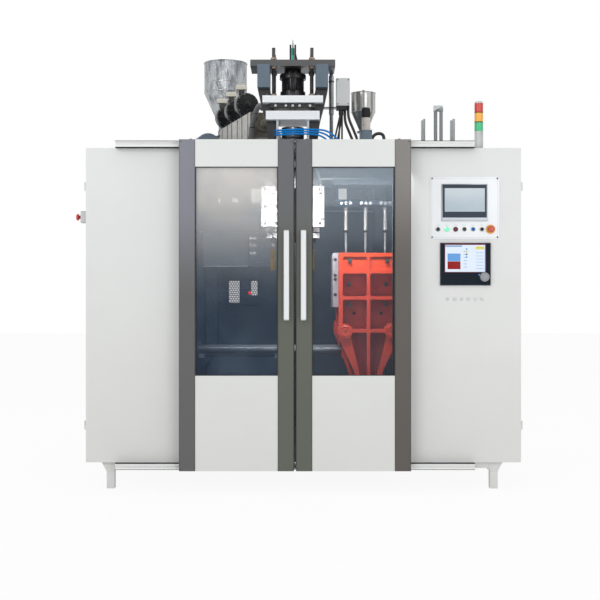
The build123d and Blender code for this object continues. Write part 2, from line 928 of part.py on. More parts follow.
def door_window():
    """Clear pane that stands between the stiles and the panels."""
    x = (-door_gap / 2 - door_width + stile_width, -door_gap / 2 - stile_width)
    y = (door_front_y + pane_setback, door_front_y + pane_setback + pane_thickness)
    return span(x, y, (window_bottom, window_top))


def door_handle():
    """Bar handle: a flat bar on two posts, from one bent outline."""
    x = (-handle_from_middle - handle_width / 2, -handle_from_middle + handle_width / 2)
    front = door_front_y - handle_reach
    low, high = handle_bottom, handle_bottom + handle_length
    points = [(door_front_y, low), (front, low), (front, high), (door_front_y, high)]
    points += [(door_front_y, high - handle_post), (front + handle_thickness, high - handle_post)]
    points += [(front + handle_thickness, low + handle_post), (door_front_y, low + handle_post)]
    bar = outline_x(points, x)
    long_edges = bar.edges().filter_by(Axis.Z).group_by(Axis.Y)[0]
    return fillet(long_edges, handle_thickness / 4)


def operator_plate():
    """Bright plate of the operator panel, bored for its push buttons."""
    middle_x = plate_left + plate_width / 2
    middle_z = plate_bottom + plate_height / 2
    plane = Plane(origin=(middle_x, 0, middle_z), x_dir=(1, 0, 0), z_dir=(0, -1, 0))
    plate = extrude(plane * RectangleRounded(plate_width, plate_height, plate_corner), plate_thickness)
    return plate


def panel_bezels():
    """Housings of the touch display and the parison controller, each with a sunk screen."""
    touch = span((touch_left, touch_left + touch_width), (-plate_thickness - touch_depth, -plate_thickness),
                 (touch_bottom, touch_bottom + touch_height))
    control = span((control_left, control_left + control_width), (-control_depth, 0),
                   (control_bottom, control_bottom + control_height))
    touch = chamfer(touch.faces().sort_by(Axis.Y)[0].edges(), bezel_edge)
    control = chamfer(control.faces().sort_by(Axis.Y)[0].edges(), bezel_edge)
    touch = touch - screen_box(True)
    control = control - screen_box(False)
    return apart([touch, control])


def screen_box(touch):
    """Glass pane of one display, sunk flush into its housing."""
    if touch:
        front = -plate_thickness - touch_depth
        x = (touch_left + touch_screen_side, touch_left + touch_width - touch_screen_side)
        z = (touch_bottom + touch_screen_low, touch_bottom + touch_height - touch_screen_top)
    else:
        front = -control_depth
        x = (control_left + control_screen_side, control_left + control_width - control_screen_side)
        z = (control_bottom + control_screen_low, control_bottom + control_height - control_screen_top)
    return span(x, (front, front + screen_thickness), z)


def button_x(index):
    """Middle of a button in the operator row, counted from the left."""
    return plate_left + button_inset + index * button_pitch


def pilot_lamps():
    """Lit lamp and dark red lamp with their bezels."""
    pieces = []
    for index in (1, 2):
        base = front_disc(button_x(index), -plate_thickness - bezel_depth, button_row_z, bezel_radius,
                          bezel_depth)
        front = -plate_thickness - bezel_depth - lens_proud
        lens = front_disc(button_x(index), front, button_row_z, cap_radius, lens_proud)
        pieces.append(base + lens)
    return apart(pieces)


def bezel(index):
    """Ring around a moving control."""
    front = -plate_thickness - bezel_depth
    ring = front_disc(button_x(index), front, button_row_z, bezel_radius, bezel_depth)
    return ring - front_disc(button_x(index), front - 1, button_row_z, cap_radius + cap_clearance,
                             bezel_depth + 1)


def button_bezels():
    """Four rings of the moving controls."""
    return apart([bezel(index) for index in (0, 3, 4, 5)])


def push_cap(index):
    """Push button cap: it stands clear of the plate by more than its travel."""
    front = -plate_thickness - bezel_depth - cap_proud
    depth = bezel_depth + cap_proud - push_travel - cap_clearance
    return front_disc(button_x(index), front, button_row_z, cap_radius, depth)


def turned_cap(index, grip_width, grip_length, grip_depth):
    """Turned control: a round base with a grip bar across it."""
    front = -plate_thickness - bezel_depth - cap_proud
    base = front_disc(button_x(index), front, button_row_z, cap_radius,
                      bezel_depth + cap_proud - cap_clearance)
    x = button_x(index)
    grip = span((x - grip_width / 2, x + grip_width / 2), (front - grip_depth, front),
                (button_row_z - grip_length / 2, button_row_z + grip_length / 2))
    return base + grip


def stop_collar():
    """Yellow collar of the emergency stop."""
    ring = front_disc(stop_x, -plate_thickness - stop_ring_depth, button_row_z, stop_ring_radius,
                      stop_ring_depth)
    return ring - front_disc(stop_x, -plate_thickness - stop_ring_depth - 1, button_row_z,
                             stop_stem + cap_clearance,
                             stop_ring_depth + 1)


def mushroom():
    """Mushroom button about Z: its stem starts at 0 and its domed head ends at stop_height."""
    under = stop_height - stop_head
    shoulder = stop_height - stop_round
    outline = [(0, 0), (stop_stem, 0), (stop_stem, under), (stop_radius, under), (stop_radius, shoulder)]
    outline += [(stop_radius - stop_round * 0.35, stop_height - stop_round * 0.35)]
    outline += [(stop_radius - stop_round, stop_height), (0, stop_height)]
    return revolve_profile(outline, 0, 0)


def stop_button():
    """Red emergency stop on the operator panel, its stem clear of the plate by its travel."""
    foot = -plate_thickness - stop_travel - seat_gap
    plane = Plane(origin=(stop_x, foot, button_row_z), x_dir=(1, 0, 0), z_dir=(0, -1, 0))
    return plane * mushroom()


def control_dial():
    """Round dial of the parison controller."""
    foot = -control_depth - seat_gap
    x = control_left + control_width - dial_inset
    z = control_bottom + dial_rise
    plane = Plane(origin=(x, foot, z), x_dir=(1, 0, 0), z_dir=(0, -1, 0))
    dial = Cylinder(dial_radius, dial_depth, align=(Align.CENTER, Align.CENTER, Align.MIN))
    dial = chamfer(dial.edges().sort_by(Axis.Z)[-1], bezel_edge)
    return plane * dial


def dome_heads():
    """Six dome heads in a row under the controller."""
    pieces = []
    for index in range(dome_count):
        x = control_left + dome_inset + index * dome_pitch
        pieces.append(front_disc(x, -dome_radius, control_bottom - dome_drop, dome_radius, dome_radius))
    return apart(pieces)


def side_stop_box():
    """Emergency stop box on the left service door, with a bore for its button."""
    half = stop_box / 2
    x = (left_side_x - stop_box_depth, left_side_x)
    box = span(x, (stop_box_y - half, stop_box_y + half), (stop_box_z - half, stop_box_z + half))
    box = chamfer(box.edges().filter_by(Axis.X), stop_round)
    bore_end = x[0] + 2 * stop_travel + 1
    bore = rod((x[0] - 1, stop_box_y, stop_box_z), (bore_end, stop_box_y, stop_box_z),
               stop_stem + cap_clearance)
    return box - bore


def side_stop_button():
    """Red button of the side stop box."""
    foot = left_side_x - stop_box_depth + stop_travel
    plane = Plane(origin=(foot, stop_box_y, stop_box_z), x_dir=(0, 1, 0), z_dir=(-1, 0, 0))
    return plane * mushroom()


def signal_tower():
    """Stem, rings and cap of the signal tower."""
    x, y = tower_light_x, tower_light_y
    z = cabinet_top
    pieces = [rod((x, y, z), (x, y, z + tower_light_stem), tower_light_radius)]
    z += tower_light_stem
    for index in range(2):
        z += lens_height
        pieces.append(rod((x, y, z), (x, y, z + lens_ring), tower_light_radius))
        z += lens_ring
    z += lens_height
    cap = Pos(x, y, z) * Cylinder(tower_light_radius, light_cap,
                                  align=(Align.CENTER, Align.CENTER, Align.MIN))
    cap = chamfer(cap.edges().sort_by(Axis.Z)[-1], light_cap * 0.6)
    pieces.append(cap)
    return apart(pieces)


def signal_lenses():
    """Three stacked lenses."""
    pieces = []
    z = cabinet_top + tower_light_stem
    for index in range(3):
        pieces.append(rod((tower_light_x, tower_light_y, z),
                          (tower_light_x, tower_light_y, z + lens_height),
                          tower_light_radius))
        z += lens_height + lens_ring
    return apart(pieces)


def die_head():
    """Head block on the deck, its body through the deck, the manifold and three dies below."""
    y = (head_y - head_block_depth / 2, head_y + head_block_depth / 2)
    x = (head_x - head_block_width / 2, head_x + head_block_width / 2)
    block = span(x, y, (cabinet_top, cabinet_top + head_block_height))
    body = rod((head_x, head_y, manifold_top - 1), (head_x, head_y, head_top), head_radius)
    body = chamfer(body.edges().sort_by(Axis.Z)[-1], leg_block_proud)
    manifold = span((head_x - manifold_width / 2, head_x + manifold_width / 2),
                    (head_y - manifold_depth / 2, head_y + manifold_depth / 2), (manifold_bottom, manifold_top))
    whole = block + body + manifold
    for index in (-1, 0, 1):
        x = head_x + index * die_pitch
        whole = whole + rod((x, head_y, manifold_bottom + 1), (x, head_y, die_bottom), die_radius)
        nozzle = Pos(x, head_y, die_bottom - nozzle_height / 2) * Cone(nozzle_radius * 0.6, nozzle_radius,
                                                                       nozzle_height)
        whole = whole + nozzle
    return whole


def head_guards():
    """White covers in front of the outer dies, each hung from the manifold by a lug."""
    pieces = []
    back = head_y - manifold_depth / 2
    front = back - guard_plate_reach
    top = manifold_bottom + guard_plate_rise
    for side in (-1, 1):
        outer = head_x + side * guard_plate_outer
        inner = outer - side * guard_plate_width
        x = tuple(sorted((inner, outer)))
        plate = span(x, (front, front + guard_plate_thickness), (top - guard_plate_height, top))
        lug_x_limits = tuple(sorted((inner, inner + side * guard_lug)))
        lug = span(lug_x_limits, (front + guard_plate_thickness, back), (top - guard_lug_height, top))
        pieces.append(plate + lug)
    return apart(pieces)


def leg_levels(halves):
    """Points of a leg's outline: half widths at the shares of its height."""
    height = leg_top - leg_bottom
    return [(half, leg_bottom + share * height) for half, share in zip(halves, leg_shares)]


def leg_solid(side):
    """One tapered side frame on the head block."""
    y = (head_y - head_block_depth / 2, head_y + head_block_depth / 2)
    points = leg_levels(leg_outer_halves) + list(reversed(leg_levels(leg_inner_halves)))
    return outline_y([(head_x + side * px, pz) for px, pz in points], y)


def tower_legs():
    """Two tapered side frames, and the four threaded stays, each one solid with its nuts."""
    pieces = [leg_solid(-1), leg_solid(1)]
    levels = (upper_plate_top, top_plate_bottom - nut_height, top_plate_top)
    for side in (-1, 1):
        for end in (-1, 1):
            x, y = head_x + side * stay_offset_x, head_y + end * stay_offset_y
            stay = rod((x, y, upper_plate_bottom), (x, y, top_plate_top + stay_above), stay_radius)
            pieces.append(fused([stay] + [hex_nut(x, y, z, nut_width, nut_height) for z in levels]))
    return apart(pieces)


def tower_top():
    """Top plate welded to the two blocks that stand on the legs."""
    y = (head_y - top_plate_depth / 2, head_y + top_plate_depth / 2)
    plate = span((head_x - top_plate_width / 2, head_x + top_plate_width / 2), y,
                 (top_plate_bottom, top_plate_top))
    for side in (-1, 1):
        x = tuple(sorted((head_x + side * leg_inner_halves[-1], head_x + side * leg_outer_halves[-1])))
        block_y = (y[0] - leg_block_proud, y[1] + leg_block_proud)
        plate = plate + span(x, block_y, (leg_top, top_plate_bottom + leg_block_overlap))
        for end in (-1, 1):
            place = Pos(head_x + side * stay_offset_x, head_y + end * stay_offset_y, top_plate_bottom)
            plate = plate - place * Cylinder(stay_radius + stay_clearance, 4 * top_plate_thickness)
    return plate


def h_plate(width, body, z, front_gap):
    """Plate with a bar in front of the legs, a body between them and a bar behind them."""
    half_depth = cross_plate_depth / 2
    leg_front = head_y - head_block_depth / 2 - front_gap
    leg_back = head_y + head_block_depth / 2 + front_gap
    x = (head_x - width / 2, head_x + width / 2)
    front = span(x, (head_y - half_depth, leg_front), z)
    middle = span((head_x - body / 2, head_x + body / 2), (leg_front, leg_back), z)
    back = span(x, (leg_back, head_y + half_depth), z)
    return front + middle + back


def upper_plate():
    """Bright plate that carries the cylinder, held by the stays."""
    z = (upper_plate_bottom, upper_plate_bottom + upper_plate_thickness)
    plate = h_plate(upper_plate_width, upper_plate_body, z, 0.0)
    plate = plate - rod((head_x, head_y, z[0] - 1), (head_x, head_y, z[1] + 1),
                        piston_rod_radius + stay_clearance)
    for side in (-1, 1):
        for end in (-1, 1):
            x, y = head_x + side * stay_offset_x, head_y + end * stay_offset_y
            plate = plate - rod((x, y, z[0] - 1), (x, y, z[1] + 1), stay_radius + stay_clearance)
    return plate


def crosshead():
    """Moving plate with its two pull rods and the piston rod that drives it."""
    z = (crosshead_bottom, crosshead_bottom + crosshead_thickness)
    plate = h_plate(crosshead_width, crosshead_body, z, crosshead_gap)
    for side in (-1, 1):
        x = head_x + side * pull_rod_offset
        plate = plate + rod((x, pull_rod_y, cabinet_top - top_beam), (x, pull_rod_y, z[0] + 1),
                            pull_rod_radius)
    piston_top = z[1] + piston_rod_rise
    return plate + rod((head_x, head_y, z[1] - 1), (head_x, head_y, piston_top), piston_rod_radius)


def head_cylinder():
    """Ribbed black cylinder between the upper plate and the top plate."""
    base = upper_plate_top
    flange_top = cylinder_body_top + cylinder_flange
    body = rod((head_x, head_y, base), (head_x, head_y, base + cylinder_foot), cylinder_foot_radius)
    body = body + rod((head_x, head_y, base), (head_x, head_y, cylinder_body_top),
                      cylinder_radius - cylinder_rib_depth)
    body = body + rod((head_x, head_y, cylinder_body_top), (head_x, head_y, flange_top),
                      cylinder_flange_radius)
    body = body + rod((head_x, head_y, cylinder_body_top), (head_x, head_y, top_plate_bottom),
                      cylinder_neck_radius)
    for index in range(cylinder_ribs):
        rib = span((-cylinder_rib_depth, cylinder_rib_depth), (0, cylinder_radius),
                   (base + cylinder_foot - 1, cylinder_body_top + 1))
        body = body + Pos(head_x, head_y, 0) * Rot(0, 0, (index + 0.5) * 360 / cylinder_ribs) * rib
    bore_top = crosshead_bottom + crosshead_thickness + piston_rod_rise + piston_room
    return body - rod((head_x, head_y, base - 1), (head_x, head_y, bore_top),
                      piston_rod_radius + running_gap)


def head_sensor():
    """Position sensor between two fins on the top plate."""
    base = top_plate_top
    floor = base + sensor_foot_thickness - 1
    half = sensor_foot / 2
    fin_outer = sensor_fin_gap / 2 + sensor_fin_width
    foot = span((head_x - half, head_x + half), (head_y - half, head_y + half),
                (base, base + sensor_foot_thickness))
    for side in (-1, 1):
        x = tuple(sorted((head_x + side * sensor_fin_gap / 2, head_x + side * fin_outer)))
        foot = foot + span(x, (head_y - half / 2, head_y + half / 2), (floor, base + sensor_fin_height))
    gusset = [(head_x + fin_outer - 1, floor), (head_x + half, floor),
              (head_x + fin_outer - 1, base + sensor_foot)]
    foot = foot + outline_y(gusset, (head_y - sensor_radius, head_y + sensor_radius))
    socket_top = base + sensor_fin_height - sensor_fin_gap
    foot = foot + rod((head_x, head_y, floor), (head_x, head_y, socket_top), sensor_fin_gap / 2 - 1)
    return foot + rod((head_x, head_y, floor), (head_x, head_y, base + sensor_height), sensor_radius)


def bright_bars():
    """Two guide bars of the carriage and the bright column beside the head tower."""
    pieces = []
    for y in (guide_front_y, guide_back_y):
        pieces.append(rod((-bay_side, y, guide_z), (bay_side, y, guide_z), guide_radius))
    x, y = head_x + bright_column_offset, head_y + bright_column_back
    pieces.append(rod((x, y, cabinet_top), (x, y, top_plate_bottom), bright_column_radius))
    return apart(pieces)


def extruder_barrel():
    """Barrel with its covered zones, feed block and the adapter that runs down to the head."""
    barrel = rod(barrel_point(barrel_front), barrel_point(gear_case_back), barrel_radius)
    half = zone_width / 2
    for index in range(zone_count):
        start = -zone_first - index * zone_pitch
        zone = barrel_block((start - zone_length, start), (-half, half), (barrel_z - half, barrel_z + half))
        barrel = barrel + zone
    feed = (-feed_block_half, feed_block_half)
    barrel = barrel + barrel_block(feed, feed, (barrel_z - feed_block_half, barrel_z + feed_block_half))
    end_z = head_top - adapter_drop
    knee = barrel_point(barrel_front - adapter_knee)
    points = [barrel_point(barrel_front + 10), knee,
              (head_x - adapter_side, head_y + adapter_behind, end_z)]
    points.append((head_x - 0.45 * adapter_side, head_y + head_radius - adapter_inset, end_z))
    adapter = tube_path(points, list(adapter_bends), adapter_radius)
    body = rod((head_x, head_y, end_z - 3 * head_radius), (head_x, head_y, end_z + 3 * head_radius),
               head_radius)
    return barrel + (adapter - body)


def blowers():
    """Three black blowers, each on a neck over its zone."""
    pieces = []
    z = barrel_z + blower_rise
    half = blower_length / 2
    neck_half = blower_neck / 2
    for index in range(zone_count):
        middle = -zone_first - index * zone_pitch - blower_inset
        front = barrel_point(middle - half, blower_offset, z)
        back = barrel_point(middle + half, blower_offset, z)
        drum = rod(front, back, blower_radius)
        neck_along = (middle - half + 1, middle - half + 1 + neck_half)
        neck_across = (blower_offset - neck_half, blower_offset + neck_half)
        pieces.append(drum + barrel_block(neck_along, neck_across, (barrel_z + zone_width / 2, z)))
    return apart(pieces)


def revolve_profile(points, x, y):
    """Turned part from an outline of radius and height."""
    face = make_face(Plane.XZ * Polyline(*points, close=True))
    return Pos(x, y, 0) * revolve(face, Axis.Z, 360)


def main_hopper():
    """Open hopper on the feed block: rolled rim, cylinder, cone and throat of one wall."""
    r, t = hopper_radius, hopper_wall
    throat, low = hopper_throat_radius, barrel_z + feed_block_half
    cone_top = hopper_throat_z + hopper_cone
    rim = hopper_top - hopper_rim
    outline = [(throat, low), (throat, hopper_throat_z), (r, cone_top), (r, rim)]
    outline += [(r + hopper_lip, rim), (r + hopper_lip, hopper_top), (r - t, hopper_top), (r - t, cone_top)]
    outline += [(throat - t, hopper_throat_z), (throat - t, low)]
    return revolve_profile(outline, throat_x, throat_y)


def small_hopper():
    """Small hopper with its throat, feed block and lid."""
    r, t = small_hopper_radius, small_wall
    cone_bottom = small_block_top + small_hopper_neck
    cone_top = cone_bottom + small_hopper_cone
    top = cone_top + small_hopper_cylinder
    throat = small_throat_radius
    outline = [(throat, small_block_top), (throat, cone_bottom), (r, cone_top), (r, top)]
    outline += [(r - t, top), (r - t, cone_top), (throat - t, cone_bottom), (throat - t, small_block_top)]
    shell = revolve_profile(outline, small_hopper_x, small_hopper_y)
    lid_top = top + lid_thickness
    lid = [(0, top), (r + t, top), (r + t, top + t), (r * 0.4, lid_top), (lid_thickness, lid_top)]
    lid += [(lid_thickness, lid_top + lid_thickness), (0, lid_top + lid_thickness)]
    side = small_block_half
    block = span((small_hopper_x - side, small_hopper_x + side),
                 (small_y + small_case / 2, small_hopper_y + side),
                 (small_barrel_z - small_case / 2, small_block_top))
    return apart([shell, revolve_profile(lid, small_hopper_x, small_hopper_y), block])


def extruder_drive():
    """Skid, pedestals, gear case, coupling and motor of the main extruder."""
    low, top = cabinet_top, cabinet_top + skid_height
    back = gear_case_back + gear_case_length
    half = skid_beam / 2
    rails = (-gear_case_half + skid_inset, motor_offset)
    skid = []
    for across in rails:
        skid.append(barrel_block((-skid_front, back), (across - half, across + half), (low, top)))
    for along in (-skid_front + half, -skid_middle, back - half):
        limits = (along - half, along + half)
        skid.append(barrel_block(limits, (rails[0] + half - 1, rails[1] - half + 1), (low, top)))
    under = barrel_z - zone_width / 2
    for along in (-skid_front + half, -skid_middle):
        skid.append(barrel_block((along - half, along + half), (-pedestal_half, pedestal_half),
                                 (top - 1, under)))
    case = barrel_block((gear_case_back, back), (-gear_case_half, gear_case_left), (top, gear_case_top))
    case = chamfer(case.edges().group_by(Axis.Z)[-1], gear_case_round)
    motor_start = barrel_point(-motor_front, motor_offset, motor_z)
    motor_end = barrel_point(-motor_front + motor_length, motor_offset, motor_z)
    skid.append(rod(motor_start, motor_end, motor_radius))
    case_point = barrel_point(gear_case_back + 1, motor_offset, motor_z)
    skid.append(rod(motor_start, case_point, coupling_radius))
    motor_feet = (-motor_front + half, -motor_front + motor_length - half)
    skid.append(barrel_block(motor_feet, (motor_offset - pedestal_half, motor_offset + pedestal_half),
                             (top - 1, motor_z)))
    return fused(skid) + case


def small_extruder():
    """Upright drive on its housing, with a short barrel and adapter to the head."""
    half = small_case / 2
    case = span((small_x - half, small_x + half), (small_y - half, small_y + half),
                (cabinet_top, small_case_top))
    case = chamfer(case.edges().filter_by(Axis.Z), small_case_edge)
    gear_top = small_case_top + small_gear_height
    motor_top = gear_top + small_motor_height
    pieces = [rod((small_x, small_y, small_case_top), (small_x, small_y, gear_top), small_gear_radius)]
    pieces.append(rod((small_x, small_y, gear_top), (small_x, small_y, motor_top), small_motor_radius))
    pieces.append(rod((small_x, small_y, motor_top), (small_x, small_y, motor_top + small_case_edge),
                      small_case_edge))
    barrel_end = (head_x + small_barrel_end, small_y - small_barrel_skew, small_barrel_z)
    barrel = rod((small_x - half + 2, small_y, small_barrel_z), barrel_end, small_barrel_radius)
    aim = Vector(head_x, head_y, small_barrel_z) - Vector(*barrel_end)
    adapter = rod(barrel_end, tuple(Vector(*barrel_end) + aim * 0.9), small_adapter_radius)
    reach = 3 * head_radius
    body = rod((head_x, head_y, small_barrel_z - reach), (head_x, head_y, small_barrel_z + reach),
               head_radius)
    pieces.append(case)
    pieces.append(barrel + Pos(*barrel_end) * Sphere(small_barrel_radius) + (adapter - body))
    return fused(pieces)


def junction_box():
    """Junction box on two arms from the right leg, with a gland plate and gland."""
    x = (box_left, box_left + box_width)
    y = (box_front_y, box_front_y + box_depth)
    box = span(x, y, (box_bottom, box_bottom + box_height))
    box = chamfer(box.edges().filter_by(Axis.Z), skin)
    plate_bottom_z = box_bottom - gland_plate
    plate = span((x[0] + 2, x[1] - gland_plate_short), (y[0] + 4, y[1] - 4), (plate_bottom_z, box_bottom))
    gland_y = y[0] + box_depth / 2
    gland = rod((x[0] + gland_x, gland_y, plate_bottom_z - gland_length),
                (x[0] + gland_x, gland_y, plate_bottom_z + 1),
                gland_radius)
    arm_start = head_x + leg_inner_halves[1]
    arm_y = (y[0] + gland_radius, y[0] + gland_radius + arm_width)
    arms = []
    for z in (box_bottom - arm_width, plate_bottom_z + arm_width):
        arm = span((arm_start, x[0] + 3), arm_y, (z - arm_height / 2, z + arm_height / 2)) - leg_solid(1)
        arms.append(arm.solids().sort_by(Axis.X)[-1])
    return fused([box, plate, gland] + arms)


def conduits():
    """Two conduits and four cables from the junction box to the deck, and the black hose."""
    y = box_front_y + box_depth / 2
    right = box_left + box_width
    deck_z = cabinet_top
    drop = box_bottom - deck_z
    pieces = []
    for start_x, start_z, behind in ((right - conduit_radius, box_bottom, 0.0),
                                     (right - conduit_second, box_bottom - gland_plate, conduit_behind)):
        end_x = start_x + conduit_sideways
        points = [(start_x, y + behind / 2, start_z),
                  (start_x, y + behind / 2, start_z - drop * conduit_levels[0])]
        points += [(end_x, y + behind, start_z - drop * conduit_levels[1]), (end_x, y + behind, deck_z)]
        radii = bend_radii(points)
        print("conduit radii", [round(value, 1) for value in radii])
        pieces.append(tube_path(points, radii, conduit_radius))
    gland = (box_left + gland_x, y, box_bottom - gland_plate - gland_length)
    for index, offset in enumerate(cable_spread):
        turn = math.radians(90.0 * index + 45.0)
        start_x = gland[0] + cable_radius * 1.5 * math.cos(turn)
        start_y = gland[1] + cable_radius * 1.5 * math.sin(turn)
        end_y = start_y + math.copysign(cable_radius * 3, math.sin(turn))
        cable = rod((start_x, start_y, gland[2]), (gland[0] + offset, end_y, deck_z - gland_length),
                    cable_radius)
        gland_cut = span((gland[0] - drop, gland[0] + drop), (y - drop, y + drop),
                         (deck_z - 2 * drop, deck_z))
        above = span((gland[0] - drop, gland[0] + drop), (y - drop, y + drop), (gland[2], gland[2] + drop))
        pieces.append(cable - gland_cut - above)
    half = small_case / 2
    x0 = small_x + half
    top = deck_z + black_hose_rise
    side = [(x0 + dx, small_y + dy, top + dz) for dx, dy, dz in black_hose_route]
    side.append((side[-1][0], side[-1][1], deck_z))
    radii = bend_radii(side)
    print("black hose radii", [round(value, 1) for value in radii])
    case = span((small_x - half, small_x + half), (small_y - half, small_y + half),
                (deck_z, small_case_top))
    pieces.append(tube_path(side, radii, black_hose_radius) - case)
    return apart(pieces)


def hose_place(index):
    """Level of a blue hose at its post and the X of its lower end."""
    level = head_top - hose_drop - (hose_count - 1 - index) * hose_step
    return level, head_x + hose_end_offset + hose_spacing * index


def air_hoses():
    """Three blue air hoses from a post across the front of the head tower and down to the deck."""
    pieces = []
    post_x = head_x - hose_post_offset
    y = head_y - hose_front
    for index in range(hose_count):
        z, end_x = hose_place(index)
        top_x = post_x + hose_arch_share * (end_x - post_x)
        points = [(post_x, y, z), (top_x, y - hose_sag, z + hose_arch),
                  (end_x - hose_bend, y, z + hose_sag)]
        points += [(end_x, y + hose_sag, z - hose_fall), (end_x, y + hose_sag, cabinet_top)]
        radii = bend_radii(points)
        print("air hose radii", [round(value, 1) for value in radii])
        pieces.append(tube_path(points, radii, hose_radius) - hose_post_solid())
    return apart(pieces)


def hose_post_solid():
    """Post on an arm of the head block that the blue hoses start from."""
    front = head_y - head_block_depth / 2
    x = head_x - hose_post_offset
    y = head_y - hose_front
    low = cabinet_top + hose_post
    post_y = (y - hose_post * 0.7, y + hose_post * 0.7)
    arm = span((x - 2 * hose_post, x - hose_post / 3), (post_y[0], front), (low, low + hose_arm))
    post = span((x - hose_post, x), post_y, (low, head_top - hose_drop + hose_post))
    return arm + post


def platen_outline():
    """Outline of a platen: a wide upper part that tapers to a narrow foot."""
    x0 = blow_x
    low = lower_tie_z - toe_half
    shoulder = tie_z - 2 * tie_radius
    knee = (tie_z + lower_tie_z) / 2
    return [(x0 - platen_half, shoulder), (x0 - platen_half, platen_top), (x0 + platen_half, platen_top),
            (x0 + platen_half, shoulder), (x0 + platen_half / 2, knee - toe_half), (x0 + toe_half,
                                                                                    low + toe_half / 2),
            (x0 + toe_half / 2, low), (x0 - toe_half / 2, low), (x0 - toe_half, low + toe_half / 2),
            (x0 - platen_half / 2, knee - toe_half)]


def tie_places():
    """Axes of the three tie bars in X and Z."""
    return [(blow_x - tie_offset, tie_z), (blow_x + tie_offset, tie_z), (blow_x, lower_tie_z)]


def front_platen():
    """Ribbed casting: plate, edge ribs, centre rib, cross ribs, ringed bosses and a tapered foot."""
    front, back = platen_front_y, front_mould_y
    x0 = blow_x
    body = outline_y(platen_outline(), (front, back))
    rib = platen_rib / 2
    depth = (front - 1, back - platen_back)
    low_rib = tie_z + platen_lower_rib
    high_rib = platen_top - platen_upper_rib
    cells = [(tie_z + rib, low_rib - rib, depth), (low_rib + rib, high_rib - rib, depth),
             (high_rib + rib, platen_top - platen_top_pocket, (front - 1, front + platen_top_depth))]
    for low, high, y in cells:
        for side in (-1, 1):
            x = tuple(sorted((x0 + side * rib, x0 + side * (platen_half - platen_edge_rib))))
            cell = span(x, y, (low, high))
            body = body - fillet(cell.edges().filter_by(Axis.Y), platen_corner)
    pocket_low = lower_tie_z + boss_radius
    for side in (-1, 1):
        pocket = [(x0 + side * rib, tie_z - rib),
                  (x0 + side * (platen_half - boss_radius - platen_rib), tie_z - rib)]
        pocket += [(x0 + side * (toe_half - rib), pocket_low), (x0 + side * rib, pocket_low)]
        body = body - outline_y(pocket, depth)
    for x, z in tie_places():
        body = body + front_disc(x, front - boss_proud, z, boss_radius, platen_depth + boss_proud)
    for x, z in tie_places():
        face = front - boss_proud
        ring = front_disc(x, face - 1, z, boss_ring_radius + boss_ring_width, boss_ring_depth + 1)
        body = body - (ring - front_disc(x, face - 1, z, boss_ring_radius, boss_ring_depth + 1))
        body = body - front_disc(x, front + tie_socket, z, tie_radius + running_gap, platen_depth)
    return body


def back_platen():
    """Back platen: the mirror of the front one, sliding on the tie bars, with a pad for the rod."""
    front, back = back_mould_y, back_mould_y + platen_depth
    x0 = blow_x
    body = outline_y(platen_outline(), (front, back))
    rib = platen_rib / 2
    middle = tie_z + platen_lower_rib
    for low, high in ((middle + rib, platen_top - platen_edge_rib), (tie_z + boss_radius, middle - rib)):
        for side in (-1, 1):
            x = tuple(sorted((x0 + side * rib, x0 + side * (platen_half - platen_edge_rib))))
            body = body - span(x, (front + platen_back, back + 1), (low, high))
    for x, z in tie_places():
        body = body + front_disc(x, front, z, boss_radius, platen_depth)
    for x, z in tie_places():
        body = body - front_disc(x, front - 1, z, tie_radius + running_gap, platen_depth + 2)
    return body


def mould_half(front):
    """Mould block with three half bottle cavities and their necks."""
    y = (front_mould_y, head_y - mould_parting) if front else (head_y + mould_parting, back_mould_y)
    body = span((blow_x - mould_half_width, blow_x + mould_half_width), y, (mould_bottom, mould_top))
    low = (mould_bottom + mould_top - cavity_height) / 2
    shoulder = low + cavity_height - cavity_shoulder - cavity_neck
    outline = [(0, low), (cavity_radius, low), (cavity_radius, shoulder),
               (neck_radius, shoulder + cavity_shoulder)]
    outline += [(neck_radius, mould_top + 1), (0, mould_top + 1)]
    for index in (-1, 0, 1):
        body = body - revolve_profile(outline, blow_x + index * die_pitch, head_y)
    return body


def tie_bars():
    """Three bars from the front platen through the carriage to the yoke, with end nuts."""
    pieces = []
    end = yoke_y + yoke_thickness
    for x, z in tie_places():
        bar = rod((x, platen_front_y + tie_socket + hinge_gap, z), (x, end + tie_beyond, z), tie_radius)
        face = Plane(origin=(x, end, z), z_dir=(0, 1, 0)) * RegularPolygon(tie_nut_width / 2, 6,
                                                                           major_radius=False)
        pieces.append(bar + extrude(face, tie_nut_height))
    return apart(pieces)


def clamp_yoke():
    """Rear yoke with the clamp cylinder on its back."""
    y = (yoke_y, yoke_y + yoke_thickness)
    x0 = blow_x
    low = lower_tie_z - yoke_edge
    side = tie_offset + yoke_edge
    shoulder = tie_z - tie_radius
    outline = [(x0 - side, shoulder), (x0 - side, tie_z + yoke_edge), (x0 + side, tie_z + yoke_edge)]
    outline += [(x0 + side, shoulder), (x0 + yoke_edge, low), (x0 - yoke_edge, low)]
    body = outline_y(outline, y)
    body = body + front_disc(x0, y[1] - 1, clamp_rod_z, clamp_body_radius, clamp_body_length + 1)
    bore_length = clamp_body_length - clamp_body_end
    body = body - front_disc(x0, y[1], clamp_rod_z, clamp_bore_radius, bore_length)
    body = body - front_disc(x0, y[0] - 1, clamp_rod_z, clamp_rod_radius + running_gap, yoke_thickness + 2)
    for x, z in tie_places():
        body = body - front_disc(x, y[0] - 1, z, tie_radius + running_gap, yoke_thickness + 2)
    return body


def clamp_rod():
    """Rod from the back platen into the clamp cylinder."""
    end = yoke_y + yoke_thickness + clamp_rod_engaged
    return front_disc(blow_x, back_mould_y + platen_depth, clamp_rod_z, clamp_rod_radius,
                      end - back_mould_y - platen_depth)


